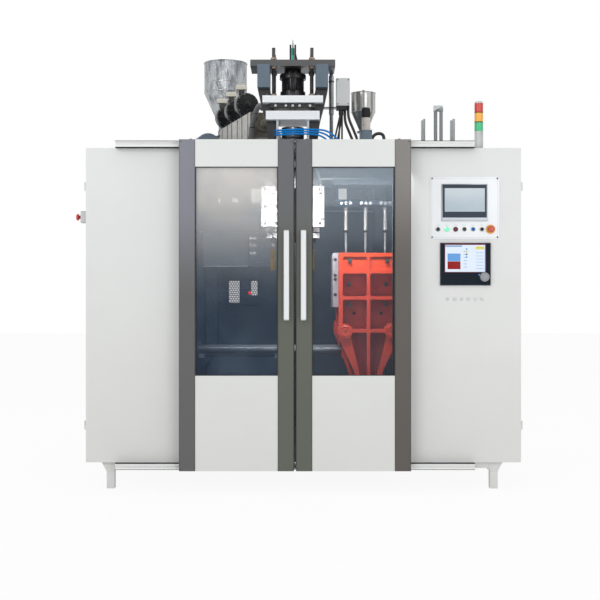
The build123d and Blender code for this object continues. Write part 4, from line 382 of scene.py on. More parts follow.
FINISHES = (
    # The cabinet and door panel whites darken slightly from high_z down to low_z: painted shade.
    Finish("cabinet white paint", rgb(231, 233, 232), 0.42, coat=0.15, scale=900, cloud=0.03, dust=0.05,
           low_colour=rgb(225, 226, 224), low_z=0.3, high_z=1.9),
    Finish("door panel white paint", rgb(231, 234, 232), 0.36, coat=0.2, scale=900, cloud=0.03, dust=0.04,
           low_colour=rgb(226, 227, 224), low_z=0.3, high_z=1.9),
    # The door profiles change colour with height: a painted reflection.
    *(Finish(name, colour, roughness, metallic=0.25, grain=Grain.ALONG_Z, scale=900, cloud=cloud, soil_and_reflection=soil_and_reflection,
             low_colour=painted_reflection_low, low_z=low_z, high_z=high_z)
      for name, colour, roughness, cloud, soil_and_reflection, painted_reflection_low, low_z, high_z in (
        ("outer profile left", rgb(128, 131, 140), 0.40, 0.08, rgb(92, 88, 84), rgb(97, 97, 97), 1.15, 1.75),
        ("outer profile right", rgb(130, 127, 124), 0.40, 0.08, rgb(92, 84, 76), rgb(90, 86, 82), 1.35, 1.95),
        ("inner profile", rgb(102, 103, 108), 0.38, 0.07, rgb(88, 86, 84), rgb(94, 98, 88), 1.20, 1.95))),
    Finish("rail white paint", rgb(248, 249, 248), 0.42, grain=Grain.ALONG_X, scale=700, cloud=0.05, dust=0.05),
    Finish("seal rubber", rgb(34, 35, 37), 0.6, scale=1600, bump=0.08, cloud=0.06, dust=0.1),
    # Near-black strips and plugs in grooves, channels, gaps and holes: painted shade.
    Finish("painted gap shade", rgb(22, 23, 26), 0.8, cloud=0.05, dust=0.05),
    Finish("frame blue grey paint", rgb(106, 122, 136), 0.45, scale=500, cloud=0.14, dust=0.15),
    # Darkens towards the bottom of the bay, from high_z down to low_z: painted shade.
    Finish("bay paint with painted shade", rgb(136, 150, 162), 0.5, scale=300, bump=0.0, cloud=0.22, soil_and_reflection=rgb(40, 48, 58),
           dust=0.05, soil_scale=2.4, low_colour=rgb(40, 58, 80), low_z=1.15, high_z=1.70),
    Finish("carrier slate paint", rgb(62, 78, 96), 0.5, scale=300, bump=0.1, cloud=0.35, soil_and_reflection=rgb(104, 98, 96),
           dust=0.03, soil_scale=9.0, grain=Grain.STREAK_Z),
    Finish("bay hazy steel", rgb(188, 195, 200), 0.45, metallic=0.2, grain=Grain.ALONG_X, scale=500, cloud=0.2,
           soil_and_reflection=rgb(110, 120, 130)),
    # The windows are pale and nearly opaque at the top, a painted reflection, with cloudy blue patches of painted
    # reflection, and are dark blue and clearer towards the bottom, painted shade.
    Finish("left window acrylic", rgb(246, 243, 238), 0.08, spread=0.03, alpha=0.63, cloud=0.30, dust=0.0, bump=0.0,
           soil_and_reflection=rgb(150, 172, 192), soil_scale=4.0, low_colour=rgb(44, 66, 90), low_z=1.12, high_z=2.0,
           low_alpha=0.22),
    Finish("right window acrylic", rgb(190, 205, 216), 0.08, spread=0.03, alpha=0.50, cloud=0.30, dust=0.0, bump=0.0,
           soil_and_reflection=rgb(112, 132, 152), soil_scale=4.0, low_colour=rgb(76, 86, 100), low_z=1.42, high_z=2.05,
           low_alpha=0.17),
    Finish("splash guard acrylic", rgb(150, 164, 176), 0.18, alpha=0.45, cloud=0.25, soil_and_reflection=rgb(200, 206, 210),
           soil_scale=5.0, dust=0.0, bump=0.0),
    Finish("handle white enamel", rgb(238, 240, 243), 0.25, coat=0.4, scale=900, cloud=0.03,
           soil_and_reflection=rgb(214, 219, 228), dust=0.0),
    Finish("brushed plate", rgb(216, 219, 222), 0.34, metallic=0.35, grain=Grain.ALONG_X, scale=1600, bump=0.12,
           cloud=0.05, soil_and_reflection=rgb(196, 200, 206)),
    Finish("bezel silver", rgb(176, 181, 188), 0.3, metallic=0.5, grain=Grain.ALONG_X, scale=1200, cloud=0.05),
    Finish("bezel slate", rgb(58, 68, 80), 0.4, specular=0.15, cloud=0.10, dust=0.0, scale=1500, bump=0.08,
           soil_and_reflection=rgb(74, 86, 98)),
    Finish("controller housing", rgb(20, 30, 40), 0.5, specular=0.12, cloud=0.10, dust=0.0, scale=1500, bump=0.12,
           soil_and_reflection=rgb(36, 48, 60)),
    # Lighter towards the top and in pale patches: a painted sheen.
    Finish("touch screen with painted sheen", rgb(196, 208, 216), 0.14, spread=0.02, cloud=0.25, soil_and_reflection=rgb(226, 234, 238),
           soil_scale=2.0, dust=0.0, low_colour=rgb(166, 184, 196), low_z=1.70, high_z=1.84),
    *(Finish("screen " + name, colour, 0.3, specular=specular, cloud=cloud, dust=0.0, glow=glow)
      for name, colour, specular, cloud, glow in (
        ("white", rgb(222, 234, 248), 0.2, 0.06, 0.15), ("blue", rgb(96, 160, 226), 0.2, 0.10, 0.1),
        ("red", rgb(150, 6, 14), 0.1, 0.10, 0.05), ("yellow", rgb(226, 212, 70), 0.2, 0.10, 0.1),
        ("line", rgb(128, 168, 216), 0.2, 0.10, 0.0), ("frame red", rgb(104, 10, 40), 0.1, 0.10, 0.0))),
    Finish("green lamp lens", rgb(110, 226, 170), 0.18, coat=0.5, cloud=0.25, soil_and_reflection=rgb(220, 255, 236), dust=0.0,
           soil_scale=60.0, glow=0.6),
    Finish("dark red lens", rgb(96, 28, 38), 0.2, coat=0.6, cloud=0.3, soil_and_reflection=rgb(150, 70, 76), dust=0.0,
           soil_scale=60.0),
    Finish("black moulded plastic", rgb(24, 26, 33), 0.42, specular=0.25, cloud=0.08, dust=0.03, scale=1500, bump=0.1),
    Finish("blue button plastic", rgb(0, 100, 176), 0.45, specular=0.1, cloud=0.06, dust=0.0),
    Finish("yellow collar plastic", rgb(244, 168, 20), 0.35, coat=0.2, cloud=0.06, soil_and_reflection=rgb(214, 138, 20), dust=0.03),
    Finish("red button plastic", rgb(206, 84, 66), 0.28, coat=0.4, cloud=0.08, soil_and_reflection=rgb(170, 50, 40), dust=0.03),
    Finish("side button red", rgb(206, 44, 44), 0.28, coat=0.4, cloud=0.08, dust=0.03),
    Finish("dial grey plastic", rgb(150, 153, 160), 0.34, coat=0.2, cloud=0.06, dust=0.03),
    Finish("grey box paint", rgb(205, 208, 208), 0.4, cloud=0.06, dust=0.06, scale=900),
    Finish("ivory plastic", rgb(226, 222, 208), 0.4, cloud=0.06, dust=0.06),
    *(Finish("signal " + name, colour, 0.2, coat=0.5, grain=Grain.ALONG_Z, scale=900, bump=0.2, cloud=0.12, soil_and_reflection=soil_and_reflection,
             dust=0.0, glow=0.12) for name, colour, soil_and_reflection in (
        ("red", rgb(206, 62, 52), rgb(150, 36, 34)), ("amber", rgb(240, 176, 66), rgb(214, 140, 40)),
        ("green", rgb(60, 190, 130), rgb(30, 140, 96)))),
    Finish("cast blue grey paint", rgb(98, 116, 130), 0.42, scale=120, bump=0.5, depth=0.0015, cloud=0.3,
           soil_and_reflection=rgb(66, 80, 92), dust=0.18, soil_scale=9.0),
    Finish("worn plate steel", rgb(88, 90, 92), 0.36, metallic=0.45, grain=Grain.ALONG_X, scale=300, bump=0.2,
           cloud=0.4, soil_and_reflection=rgb(128, 104, 92), dust=0.2, soil_scale=8.0),
    Finish("ground face steel", rgb(246, 250, 253), 0.34, metallic=0.12, grain=Grain.ALONG_X, scale=900, cloud=0.10,
           soil_and_reflection=rgb(206, 214, 222)),
    Finish("hard chrome", rgb(222, 226, 230), 0.16, spread=0.06, metallic=0.85, scale=900, bump=0.02, cloud=0.08,
           soil_and_reflection=rgb(150, 156, 160), dust=0.02),
    Finish("guide bar steel", rgb(124, 134, 142), 0.3, metallic=0.5, grain=Grain.ALONG_X, scale=700, cloud=0.4,
           soil_and_reflection=rgb(70, 80, 90)),
    Finish("pin steel", rgb(220, 221, 217), 0.24, spread=0.05, metallic=0.35, grain=Grain.ALONG_Z, scale=900,
           cloud=0.12, soil_and_reflection=rgb(170, 172, 172)),
    Finish("column steel", rgb(172, 176, 178), 0.26, metallic=0.7, grain=Grain.ALONG_Z, scale=700, cloud=0.15,
           soil_and_reflection=rgb(116, 118, 120)),
    Finish("black oiled steel", rgb(40, 40, 43), 0.3, metallic=0.3, coat=0.2, scale=400, bump=0.12, cloud=0.25,
           soil_and_reflection=rgb(80, 74, 70), dust=0.15, soil_scale=8.0),
    Finish("nut brass", rgb(176, 158, 140), 0.34, metallic=0.6, scale=600, cloud=0.3, soil_and_reflection=rgb(120, 92, 76),
           soil_scale=20.0),
    Finish("bright screw", rgb(206, 208, 210), 0.26, metallic=0.7, scale=900, cloud=0.15),
    Finish("dark screw", rgb(74, 76, 80), 0.34, metallic=0.6, scale=900, cloud=0.15),
    # The hoppers' dark cloudy streaks are painted reflection.
    Finish("hopper sheet steel with painted reflection", rgb(190, 194, 198), 0.24, spread=0.22, metallic=0.55, grain=Grain.WRAP, scale=60,
           bump=0.8, depth=0.010, cloud=1.0, soil_and_reflection=rgb(66, 72, 80), dust=0.0, soil_scale=22.0),
    Finish("polished sheet steel with painted reflection", rgb(206, 206, 204), 0.18, spread=0.10, metallic=0.6, grain=Grain.STREAK_Z,
           scale=90, bump=0.12, depth=0.002, cloud=1.0, soil_and_reflection=rgb(72, 70, 68), dust=0.0, soil_scale=26.0),
    Finish("zone cover wrap", rgb(204, 202, 196), 0.36, metallic=0.1, scale=80, bump=0.6, depth=0.003, cloud=0.7,
           soil_and_reflection=rgb(138, 138, 136), dust=0.06, soil_scale=30.0),
    Finish("zone cover beige", rgb(128, 121, 108), 0.45, scale=300, bump=0.3, depth=0.001, cloud=0.6,
           soil_and_reflection=rgb(52, 50, 47), dust=0.08, soil_scale=16.0),
    Finish("blower black", rgb(12, 13, 16), 0.30, coat=0.2, scale=600, bump=0.08, cloud=0.12,
           soil_and_reflection=rgb(36, 40, 46), dust=0.02),
    Finish("blower rim grey", rgb(112, 114, 118), 0.36, metallic=0.4, scale=600, cloud=0.2, soil_and_reflection=rgb(70, 72, 76)),
    Finish("orange casting paint", rgb(222, 74, 32), 0.42, coat=0.15, scale=260, bump=0.35, depth=0.0008, cloud=0.35,
           soil_and_reflection=rgb(190, 56, 36), dust=0.05, soil_scale=6.0, low_colour=rgb(226, 70, 44), low_z=1.05, high_z=1.45),
    Finish("orange pocket paint", rgb(214, 84, 62), 0.5, scale=200, bump=0.4, depth=0.0008, cloud=0.5,
           soil_and_reflection=rgb(120, 46, 40), dust=0.1, soil_scale=7.0),
    Finish("mould aluminium", rgb(186, 192, 200), 0.36, metallic=0.45, scale=700, cloud=0.12,
           soil_and_reflection=rgb(120, 126, 134)),
    Finish("black cable rubber", rgb(30, 31, 33), 0.5, cloud=0.06, dust=0.1),
    Finish("grey cable sleeve", rgb(104, 106, 107), 0.6, scale=220, bump=0.7, depth=0.003, cloud=0.5,
           soil_and_reflection=rgb(72, 74, 76), dust=0.1, soil_scale=40.0),
    Finish("blue hose plastic", rgb(0, 132, 212), 0.45, specular=0.15, cloud=0.10, soil_and_reflection=rgb(60, 160, 230), dust=0.02),
    Finish("motor cream paint", rgb(222, 214, 204), 0.42, cloud=0.12, soil_and_reflection=rgb(176, 166, 154), dust=0.1),
    Finish("small housing paint", rgb(106, 128, 142), 0.42, cloud=0.14, dust=0.15),
    Finish("cylinder grey paint", rgb(112, 126, 138), 0.36, metallic=0.3, grain=Grain.ALONG_X, cloud=0.2, dust=0.1),
    Finish("sensor green plastic", rgb(24, 178, 148), 0.3, coat=0.3, cloud=0.1, dust=0.0),
    Finish("amber tape", rgb(214, 176, 70), 0.34, cloud=0.3, soil_and_reflection=rgb(160, 130, 60), dust=0.0, soil_scale=20.0),
    Finish("red indicator", rgb(255, 40, 40), 0.3, coat=0.4, cloud=0.05, dust=0.0, glow=1.0),
    Finish("guard white enamel", rgb(250, 250, 248), 0.3, coat=0.3, cloud=0.05, soil_and_reflection=rgb(226, 230, 230), dust=0.02),
)


@dataclass
class Studio:
    """Pale studio: the camera of the photograph, its floor, its lamps and its world."""

    eye: Point = place(30.0, -6605.0, 1155.0)
    lens: float = 65.0
    sensor: float = 36.0
    view_depth: float = 100.0
    floor_half: float = 30.0
    floor_drop: float = 0.001
    floor_grey: float = 0.86
    floor_white: float = 0.93
    world_strength: float = 0.64
    glossy_world: float = 0.6
    bay_lamp_depth: float = 0.12
    bay_lamp_spread: float = math.radians(112)

    def build(self) -> None:
        """Sets the camera, the world, the lamps and the floor."""
        self.build_camera()
        self.build_world()
        self.build_lamps()
        self.build_floor()

    def build_camera(self) -> None:
        """Puts a level camera where the photograph was taken from."""
        data = bpy.data.cameras.new("photograph camera")
        data.sensor_width = self.sensor
        data.lens = self.lens
        data.clip_end = self.view_depth
        camera = bpy.data.objects.new("photograph_camera", data)
        camera.location = self.eye
        camera.rotation_euler = (math.pi / 2, 0, 0)
        bpy.context.scene.collection.objects.link(camera)
        bpy.context.scene.camera = camera

    def build_world(self) -> None:
        """Soft white surroundings that show as plain white behind the machine."""
        world = bpy.data.worlds.new("pale studio")
        bpy.context.scene.world = world
        world.use_nodes = True
        board = NodeBoard(world.node_tree)
        path = board.add("ShaderNodeLightPath").outputs
        seen = board.math("MAXIMUM", path["Is Camera Ray"], path["Is Transmission Ray"])
        seen = board.math("MAXIMUM", seen, board.math("MULTIPLY", path["Is Glossy Ray"], self.glossy_world))
        lift = board.math("MULTIPLY", seen, 1.0 - self.world_strength)
        board.feed(world.node_tree.nodes["Background"], {
            "Color": (1, 1, 1, 1), "Strength": board.math("ADD", lift, self.world_strength)})

    def build_lamps(self) -> None:
        """Two large soft lamps in front, one over the top and a long narrow one inside the bay."""
        for name, at, aim, size, power in (
            ("key_lamp", (-3.6, -8.0, 4.2), (0.0, -1.2, 1.2), 3.6, 108.0),
            ("fill_lamp", (3.4, -8.0, 2.2), (0.0, -1.2, 1.2), 3.6, 88.0),
            ("top_lamp", (0.0, 0.5, 6.5), (0.0, 0.0, 1.6), 4.0, 66.0),
            ("bay_lamp", (0.05, -1.13, 1.985), (0.15, -0.45, 1.15), 1.2, 14.5),
        ):
            data = bpy.data.lights.new(name, "AREA")
            data.energy = power
            data.size = size
            lamp = bpy.data.objects.new(name, data)
            lamp.location = at
            lamp.rotation_euler = (Vector(aim) - Vector(at)).to_track_quat("-Z", "Y").to_euler()
            bpy.context.scene.collection.objects.link(lamp)
        # The bay lamp, set last, is long and narrow and doesn't show itself.
        data.shape = "RECTANGLE"
        data.size_y = self.bay_lamp_depth
        data.spread = self.bay_lamp_spread
        lamp.visible_camera = False

    def build_floor(self) -> None:
        """Pale floor that keeps the machine's soft shadow."""
        half = self.floor_half
        mesh = bpy.data.meshes.new("pale_floor")
        mesh.from_pydata([(-half, -half, 0), (half, -half, 0), (half, half, 0), (-half, half, 0)], [], [(0, 1, 2, 3)])
        floor = bpy.data.objects.new("pale_floor", mesh)
        floor.location.z = -self.floor_drop
        bpy.context.scene.collection.objects.link(floor)
        material = bpy.data.materials.new("pale floor")
        material.use_nodes = True
        board = NodeBoard(material.node_tree)
        diffuse = board.add("ShaderNodeBsdfDiffuse", {"Color": (*[self.floor_grey] * 3, 1)})
        white = board.add("ShaderNodeEmission")
        path = board.add("ShaderNodeLightPath").outputs
        seen = board.math("MAXIMUM", path["Is Camera Ray"], path["Is Glossy Ray"])
        mixed = board.add("ShaderNodeMixShader", {
            0: board.math("MULTIPLY", seen, self.floor_white), 1: diffuse.outputs[0], 2: white.outputs[0]})
        board.feed(material.node_tree.nodes["Material Output"], {"Surface": mixed.outputs[0]})
        mesh.materials.append(material)


def settle(name: str, mesh: Mesh, body: str, *stands_for: str) -> bpy.types.Object:
    """Makes a finished mesh a piece of the machine.

    Args:
        name: The piece's name.
        mesh: Its mesh, with its materials.
        body: The body that it rides on.
        stands_for: Nodes of the frame that it replaces.

    Returns:
        The piece.
    """
    mesh.set_sharp_from_angle(angle=SHARP_ANGLE)
    piece = bpy.data.objects.new(name, mesh)
    bpy.context.scene.collection.objects.link(piece)
    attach(piece, body)
    if stands_for:
        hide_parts(*stands_for)
    LOG.info("%s: %d faces on %s", name, len(mesh.polygons), body)
    return piece


class Sketch:
    """Gathers the faces of one piece, in millimetres, each with its finish."""

    def __init__(self, book: FinishBook, name: str, body: str) -> None:
        """Starts an empty piece.

        Args:
            book: The finishes.
            name: The piece's name.
            body: The body that it rides on.
        """
        self.book = book
        self.name = name
        self.body = body
        self.mesh = bmesh.new()
        self.finishes: list[str] = []

    def keep(self, part: bmesh.types.BMesh, finish: str) -> None:
        """Adds a part's faces, turned outwards.

        Args:
            part: The part, freed here.
            finish: Its finish.
        """
        if finish not in self.finishes:
            self.finishes.append(finish)
        bmesh.ops.recalc_face_normals(part, faces=part.faces)
        twins = {vertex: self.mesh.verts.new(place(*vertex.co)) for vertex in part.verts}
        for face in part.faces:
            copy = self.mesh.faces.new([twins[vertex] for vertex in face.verts])
            copy.material_index = self.finishes.index(finish)
            copy.smooth = True
        part.free()

    def block(self, x: Span, y: Span, z: Span, finish: str, edge: float = 0.8) -> None:
        """Adds a block with broken edges.

        Args:
            x: Lowest and highest x.
            y: Lowest and highest y.
            z: Lowest and highest z.
            finish: Its finish.
            edge: Width of the broken edges.
        """
        part = bmesh.new()
        bmesh.ops.create_cube(part, size=1.0)
        for vertex in part.verts:
            vertex.co = Vector([low + (high - low) * (value + 0.5)
                                for (low, high), value in zip((x, y, z), vertex.co)])
        width = min(edge, 0.3 * min(high - low for low, high in (x, y, z)))
        if width > 0:
            bmesh.ops.bevel(part, geom=part.edges[:], offset=width, segments=1, affect="EDGES")
        self.keep(part, finish)

    def skin(self, circles: Iterable[tuple[Vector, Vector, Vector, float]], finish: str, sides: int,
             hollow: bool = False) -> None:
        """Adds a skin over a row of circles, its ends capped or joined.

        Args:
            circles: Middle, sideways and upward directions and radius of each circle.
            finish: Its finish.
            sides: Faces around.
            hollow: Whether the last circle joins the first one.
        """
        part = bmesh.new()
        rings = [[part.verts.new(centre + side * (radius * math.cos(a)) + up * (radius * math.sin(a)))
                  for a in turns(sides)] if radius > 0 else [part.verts.new(centre)]
                 for centre, side, up, radius in circles]
        for low, high in list(zip(rings, rings[1:])) + ([(rings[-1], rings[0])] if hollow else []):
            for step in range(sides):
                after = (step + 1) % sides
                corners = dict.fromkeys([low[step % len(low)], low[after % len(low)],
                                         high[after % len(high)], high[step % len(high)]])
                if len(corners) > 2:
                    part.faces.new(list(corners))
        for ring in (rings[0], rings[-1]):
            if len(ring) > 2 and not hollow:
                part.faces.new(ring)
        self.keep(part, finish)

    def turned(self, start: Point, toward: Point, outline: Outline, finish: str, sides: int = 32,
               hollow: bool = False) -> None:
        """Adds a turned form about an axis, or a hollow ring whose outline closes on itself.

        Args:
            start: Where the axis starts.
            toward: The axis's direction.
            outline: Distance along the axis and radius of each point.
            finish: Its finish.
            sides: Faces around.
            hollow: Whether the outline's end joins its start.
        """
        axis = Vector(toward).normalized()
        side = axis.orthogonal().normalized()
        up = axis.cross(side)
        circles = [(Vector(start) + axis * along, side, up, radius) for along, radius in outline]
        self.skin(circles, finish, sides, hollow)

    def ring(self, start: Point, inner: float, outer: float, height: float, finish: str, sides: int) -> None:
        """Adds a plain upright ring, from the middle of its lower end."""
        self.turned(start, UP, [(0, inner), (0, outer), (height, outer), (height, inner)], finish, sides, True)

    def rod(self, start: Point, end: Point, radius: float, finish: str, edge: float = 1.0, sides: int = 28) -> None:
        """Adds a round bar with broken ends.

        Args:
            start: The middle of its first end.
            end: The middle of its other end.
            radius: Its radius.
            finish: Its finish.
            edge: Width of the broken ends.
            sides: Faces around.
        """
        run = Vector(end) - Vector(start)
        edge = min(edge, radius * 0.4, run.length * 0.3)
        outline = [(0, radius - edge), (edge, radius), (run.length - edge, radius), (run.length, radius - edge)]
        self.turned(start, tuple(run), outline, finish, sides)

    def pipe(self, route: Sequence[Point], radius: float, finish: str, sides: int = 12, steps: int = 8) -> None:
        """Adds a smooth pipe through the points of its route.

        Args:
            route: The points that its middle line passes.
            radius: Its radius.
            finish: Its finish.
            sides: Faces around.
            steps: Rings between two points.
        """
        knots = [Vector(point) for point in (route[0], *route, route[-1])]
        line = []
        for a, b, c, d in zip(knots, knots[1:], knots[2:], knots[3:]):
            for t in (step / steps for step in range(steps)):
                line.append(0.5 * (2 * b + (c - a) * t + (2 * a - 5 * b + 4 * c - d) * t ** 2
                                   + (3 * b - a - 3 * c + d) * t ** 3))
        line.append(knots[-1])
        side = (line[1] - line[0]).orthogonal().normalized()
        circles = []
        for number, spot in enumerate(line):
            run = (line[min(number + 1, len(line) - 1)] - line[max(number - 1, 0)]).normalized()
            side = (side - run * side.dot(run)).normalized()
            circles.append((spot, side, run.cross(side), radius))
        self.skin(circles, finish, sides)

    def band(self, x: Span, z: Span, width: float, y: Span, finish: str) -> None:
        """Adds a square frame of four strips that faces front.

        Args:
            x: Outer left and right.
            z: Outer bottom and top.
            width: Width of the strips.
            y: Front and back of the strips.
            finish: Its finish.
        """
        for low, high in ((z[0], z[0] + width), (z[1] - width, z[1])):
            self.block(x, y, (low, high), finish, 0.3)
        for low, high in ((x[0], x[0] + width), (x[1] - width, x[1])):
            self.block((low, high), y, (z[0] + width, z[1] - width), finish, 0.3)

    def finished(self, *stands_for: str) -> None:
        """Turns the gathered faces into a piece of the machine.

        Args:
            stands_for: Nodes of the frame that this piece replaces.
        """
        mesh = bpy.data.meshes.new(self.name)
        self.mesh.to_mesh(mesh)
        self.mesh.free()
        for finish in self.finishes:
            mesh.materials.append(self.book.material(finish))
        settle(self.name, mesh, self.body, *stands_for)


@dataclass(frozen=True)
class Zone:
    """A box, in millimetres, whose faces take another finish."""

    finish: str
    x: Span = (-9999.0, 9999.0)
    y: Span = (-9999.0, 9999.0)
    z: Span = (-9999.0, 9999.0)

    def holds(self, point: Vector) -> bool:
        """Whether a point in the frame's metres lies in the box."""
        spot = (point.x * 1000, (point.y + MIDDLE_Y) * 1000, point.z * 1000)
        return all(low <= value <= high for value, (low, high) in zip(spot, (self.x, self.y, self.z)))


class Repeats:
    """Geometry Nodes trees for what repeats: fastener heads, bars and mesh cells."""

    def __init__(self, book: FinishBook) -> None:
        """Builds each tree once.

        Args:
            book: The finishes.
        """
        self.book = book
        self.heads = self.build_heads()
        self.bars = self.build_bars()
        self.cells = self.build_cells()

    def open_tree(self, name: str, inputs: Sequence[tuple[str, str, object]]) -> tuple[NodeBoard, Node, Node]:
        """Starts a tree that takes points, a finish, a direction and named sizes.

        Args:
            name: The tree's name.
            inputs: Name, socket type and default of each size.

        Returns:
            The board, the input node and the output node.
        """
        tree = bpy.data.node_groups.new(name, "GeometryNodeTree")
        tree.interface.new_socket("Geometry", in_out="INPUT", socket_type="NodeSocketGeometry")
        tree.interface.new_socket("Finish", in_out="INPUT", socket_type="NodeSocketMaterial")
        for label, kind, default in (*inputs, ("Direction", "NodeSocketVector", FRONT)):
            tree.interface.new_socket(label, in_out="INPUT", socket_type=kind).default_value = default
        tree.interface.new_socket("Geometry", in_out="OUTPUT", socket_type="NodeSocketGeometry")
        board = NodeBoard(tree)
        return board, board.add("NodeGroupInput"), board.add("NodeGroupOutput")

    def close_tree(self, board: NodeBoard, entry: Node, leave: Node, shape: Socket) -> NodeTree:
        """Ends a tree: copies on the points along the direction, realised, with the finish set.

        Args:
            board: The tree's board.
            entry: Its input node.
            leave: Its output node.
            shape: The geometry to copy.

        Returns:
            The finished tree.
        """
        turn = board.add("FunctionNodeAlignRotationToVector", {"Vector": entry.outputs["Direction"]}, axis="Z")
        copies = board.add("GeometryNodeInstanceOnPoints", {
            "Points": entry.outputs["Geometry"], "Instance": shape, "Rotation": turn.outputs[0]})
        real = board.add("GeometryNodeRealizeInstances", {0: copies.outputs["Instances"]})
        finish = board.add("GeometryNodeSetMaterial", {
            "Geometry": real.outputs[0], "Material": entry.outputs["Finish"]})
        board.feed(leave, {"Geometry": finish.outputs[0]})
        return board.tree

    def build_heads(self) -> NodeTree:
        """Fastener heads: a washer with a tapered head on it.

        Returns:
            The tree, with Radius, Height, Sides and Direction as inputs.
        """
        board, entry, leave = self.open_tree("fastener heads", [
            ("Radius", "NodeSocketFloat", 0.006), ("Height", "NodeSocketFloat", 0.005),
            ("Sides", "NodeSocketInt", 6)])
        radius, height = entry.outputs["Radius"], entry.outputs["Height"]
        washer = board.add("GeometryNodeMeshCone", {
            "Vertices": 20, "Radius Top": board.math("MULTIPLY", radius, 1.30),
            "Radius Bottom": board.math("MULTIPLY", radius, 1.36), "Depth": board.math("MULTIPLY", height, 0.28)})
        head = board.add("GeometryNodeMeshCone", {
            "Vertices": entry.outputs["Sides"], "Radius Top": board.math("MULTIPLY", radius, 0.88),
            "Radius Bottom": radius, "Depth": height})
        both = board.add("GeometryNodeJoinGeometry", {0: washer.outputs["Mesh"]})
        board.feed(both, {0: head.outputs["Mesh"]})
        return self.close_tree(board, entry, leave, both.outputs[0])

    def build_bars(self) -> NodeTree:
        """Bars: one block of a given size at each point.

        Returns:
            The tree, with Size and Direction as inputs.
        """
        board, entry, leave = self.open_tree("repeated bars", [("Size", "NodeSocketVector", (0.01, 0.01, 0.01))])
        bar = board.add("GeometryNodeMeshCube", {"Size": entry.outputs["Size"]})
        return self.close_tree(board, entry, leave, bar.outputs["Mesh"])

    def build_cells(self) -> NodeTree:
        """Expanded mesh: a six-sided ring of flat strand at each point.

        Returns:
            The tree, with Radius, Strand and Direction as inputs.
        """
        board, entry, leave = self.open_tree("mesh cells", [
            ("Radius", "NodeSocketFloat", 0.01), ("Strand", "NodeSocketFloat", 0.002)])
        ring, strand = (board.add("GeometryNodeCurvePrimitiveCircle", {
            "Resolution": corners, "Radius": entry.outputs[size]}).outputs["Curve"]
            for corners, size in ((6, "Radius"), (4, "Strand")))
        swept = board.add("GeometryNodeCurveToMesh", {"Curve": ring, "Profile Curve": strand})
        return self.close_tree(board, entry, leave, swept.outputs["Mesh"])

    def grow(self, name: str, tree: NodeTree, spots: Iterable[Point], finish: str, sizes: dict[str, object],
             direction: Point = FRONT, body: str = "machine") -> None:
        """Runs a tree on points and keeps the result as a plain piece.

        Args:
            name: The piece's name.
            tree: The tree.
            spots: The points, in millimetres.
            finish: The piece's finish.
            sizes: Value of each named size.
            direction: The way the copies face.
            body: The body that it rides on.
        """
        base = bpy.data.meshes.new("points")
        base.from_pydata([place(*spot) for spot in spots], [], [])
        seed = bpy.data.objects.new(name + "_seed", base)
        bpy.context.scene.collection.objects.link(seed)
        grown = seed.modifiers.new("grown", "NODES")
        grown.node_group = tree
        sockets = {item.name: item.identifier for item in tree.interface.items_tree if item.in_out == "INPUT"}
        grown[sockets["Finish"]] = self.book.material(finish)
        for label, value in {**sizes, "Direction": [float(part) for part in direction]}.items():
            grown[sockets[label]] = value
        bpy.context.view_layer.update()
        result = seed.evaluated_get(bpy.context.evaluated_depsgraph_get())
        mesh = bpy.data.meshes.new_from_object(result)
        seed.modifiers.remove(grown)
        bpy.data.objects.remove(seed)
        mesh.name = name
        for face in mesh.polygons:
            face.use_smooth = True
        if not mesh.materials:
            mesh.materials.append(self.book.material(finish))
        settle(name, mesh, body)


@dataclass
class Assembly:
    """A sub-assembly of the machine, with the finishes and the trees that it is built from."""

    book: FinishBook
    repeats: Repeats

    def sketch(self, name: str, body: str = "machine") -> Sketch:
        """An empty piece that rides on a body."""
        return Sketch(self.book, name, body)

    def screws(self, name: str, spots: Iterable[Point], radius: float, height: float, finish: str,
               direction: Point = FRONT, sides: int = 6, body: str = "machine") -> None:
        """Sets a fastener head of that radius and height, in millimetres, on each spot."""
        sizes = {"Radius": radius / 1000, "Height": height / 1000, "Sides": sides}
        self.repeats.grow(name, self.repeats.heads, spots, finish, sizes, direction, body)

    def carry(self, node: str, finish: str, zones: Sequence[Zone] = (), edge: float = 0.0) -> None:
        """Carries a node of the frame over as a merged piece with softened edges and its own finishes.

        Args:
            node: The node.
            finish: Its main finish.
            zones: Boxes whose faces take another finish, the last one winning.
            edge: Width of the broken edges in millimetres, 0 for none.
        """
        source = frame["nodes"][node]
        names = [finish]
        made = bmesh.new()
        made.from_mesh(source.data)
        bmesh.ops.remove_doubles(made, verts=made.verts, dist=MERGE_DISTANCE)
        for face in made.faces:
            face.smooth = True
            face.material_index = 0
            middle = face.calc_center_median()
            for zone in zones:
                if zone.holds(middle):
                    if zone.finish not in names:
                        names.append(zone.finish)
                    face.material_index = names.index(zone.finish)
        if edge > 0:
            bmesh.ops.dissolve_limit(made, angle_limit=math.radians(0.5), verts=made.verts, edges=made.edges,
                                     delimit={"MATERIAL"})
        mesh = bpy.data.meshes.new(node + "_dressed")
        made.to_mesh(mesh)
        made.free()
        for name in names:
            mesh.materials.append(self.book.material(name))
        piece = settle(node + "_dressed", mesh, source["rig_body"], node)
        if edge > 0:
            soften = piece.modifiers.new("broken edges", "BEVEL")
            soften.width = edge / 1000
            soften.segments = 1
            soften.limit_method = "ANGLE"
            soften.angle_limit = SOFTENED_ANGLE
            soften.use_clamp_overlap = True


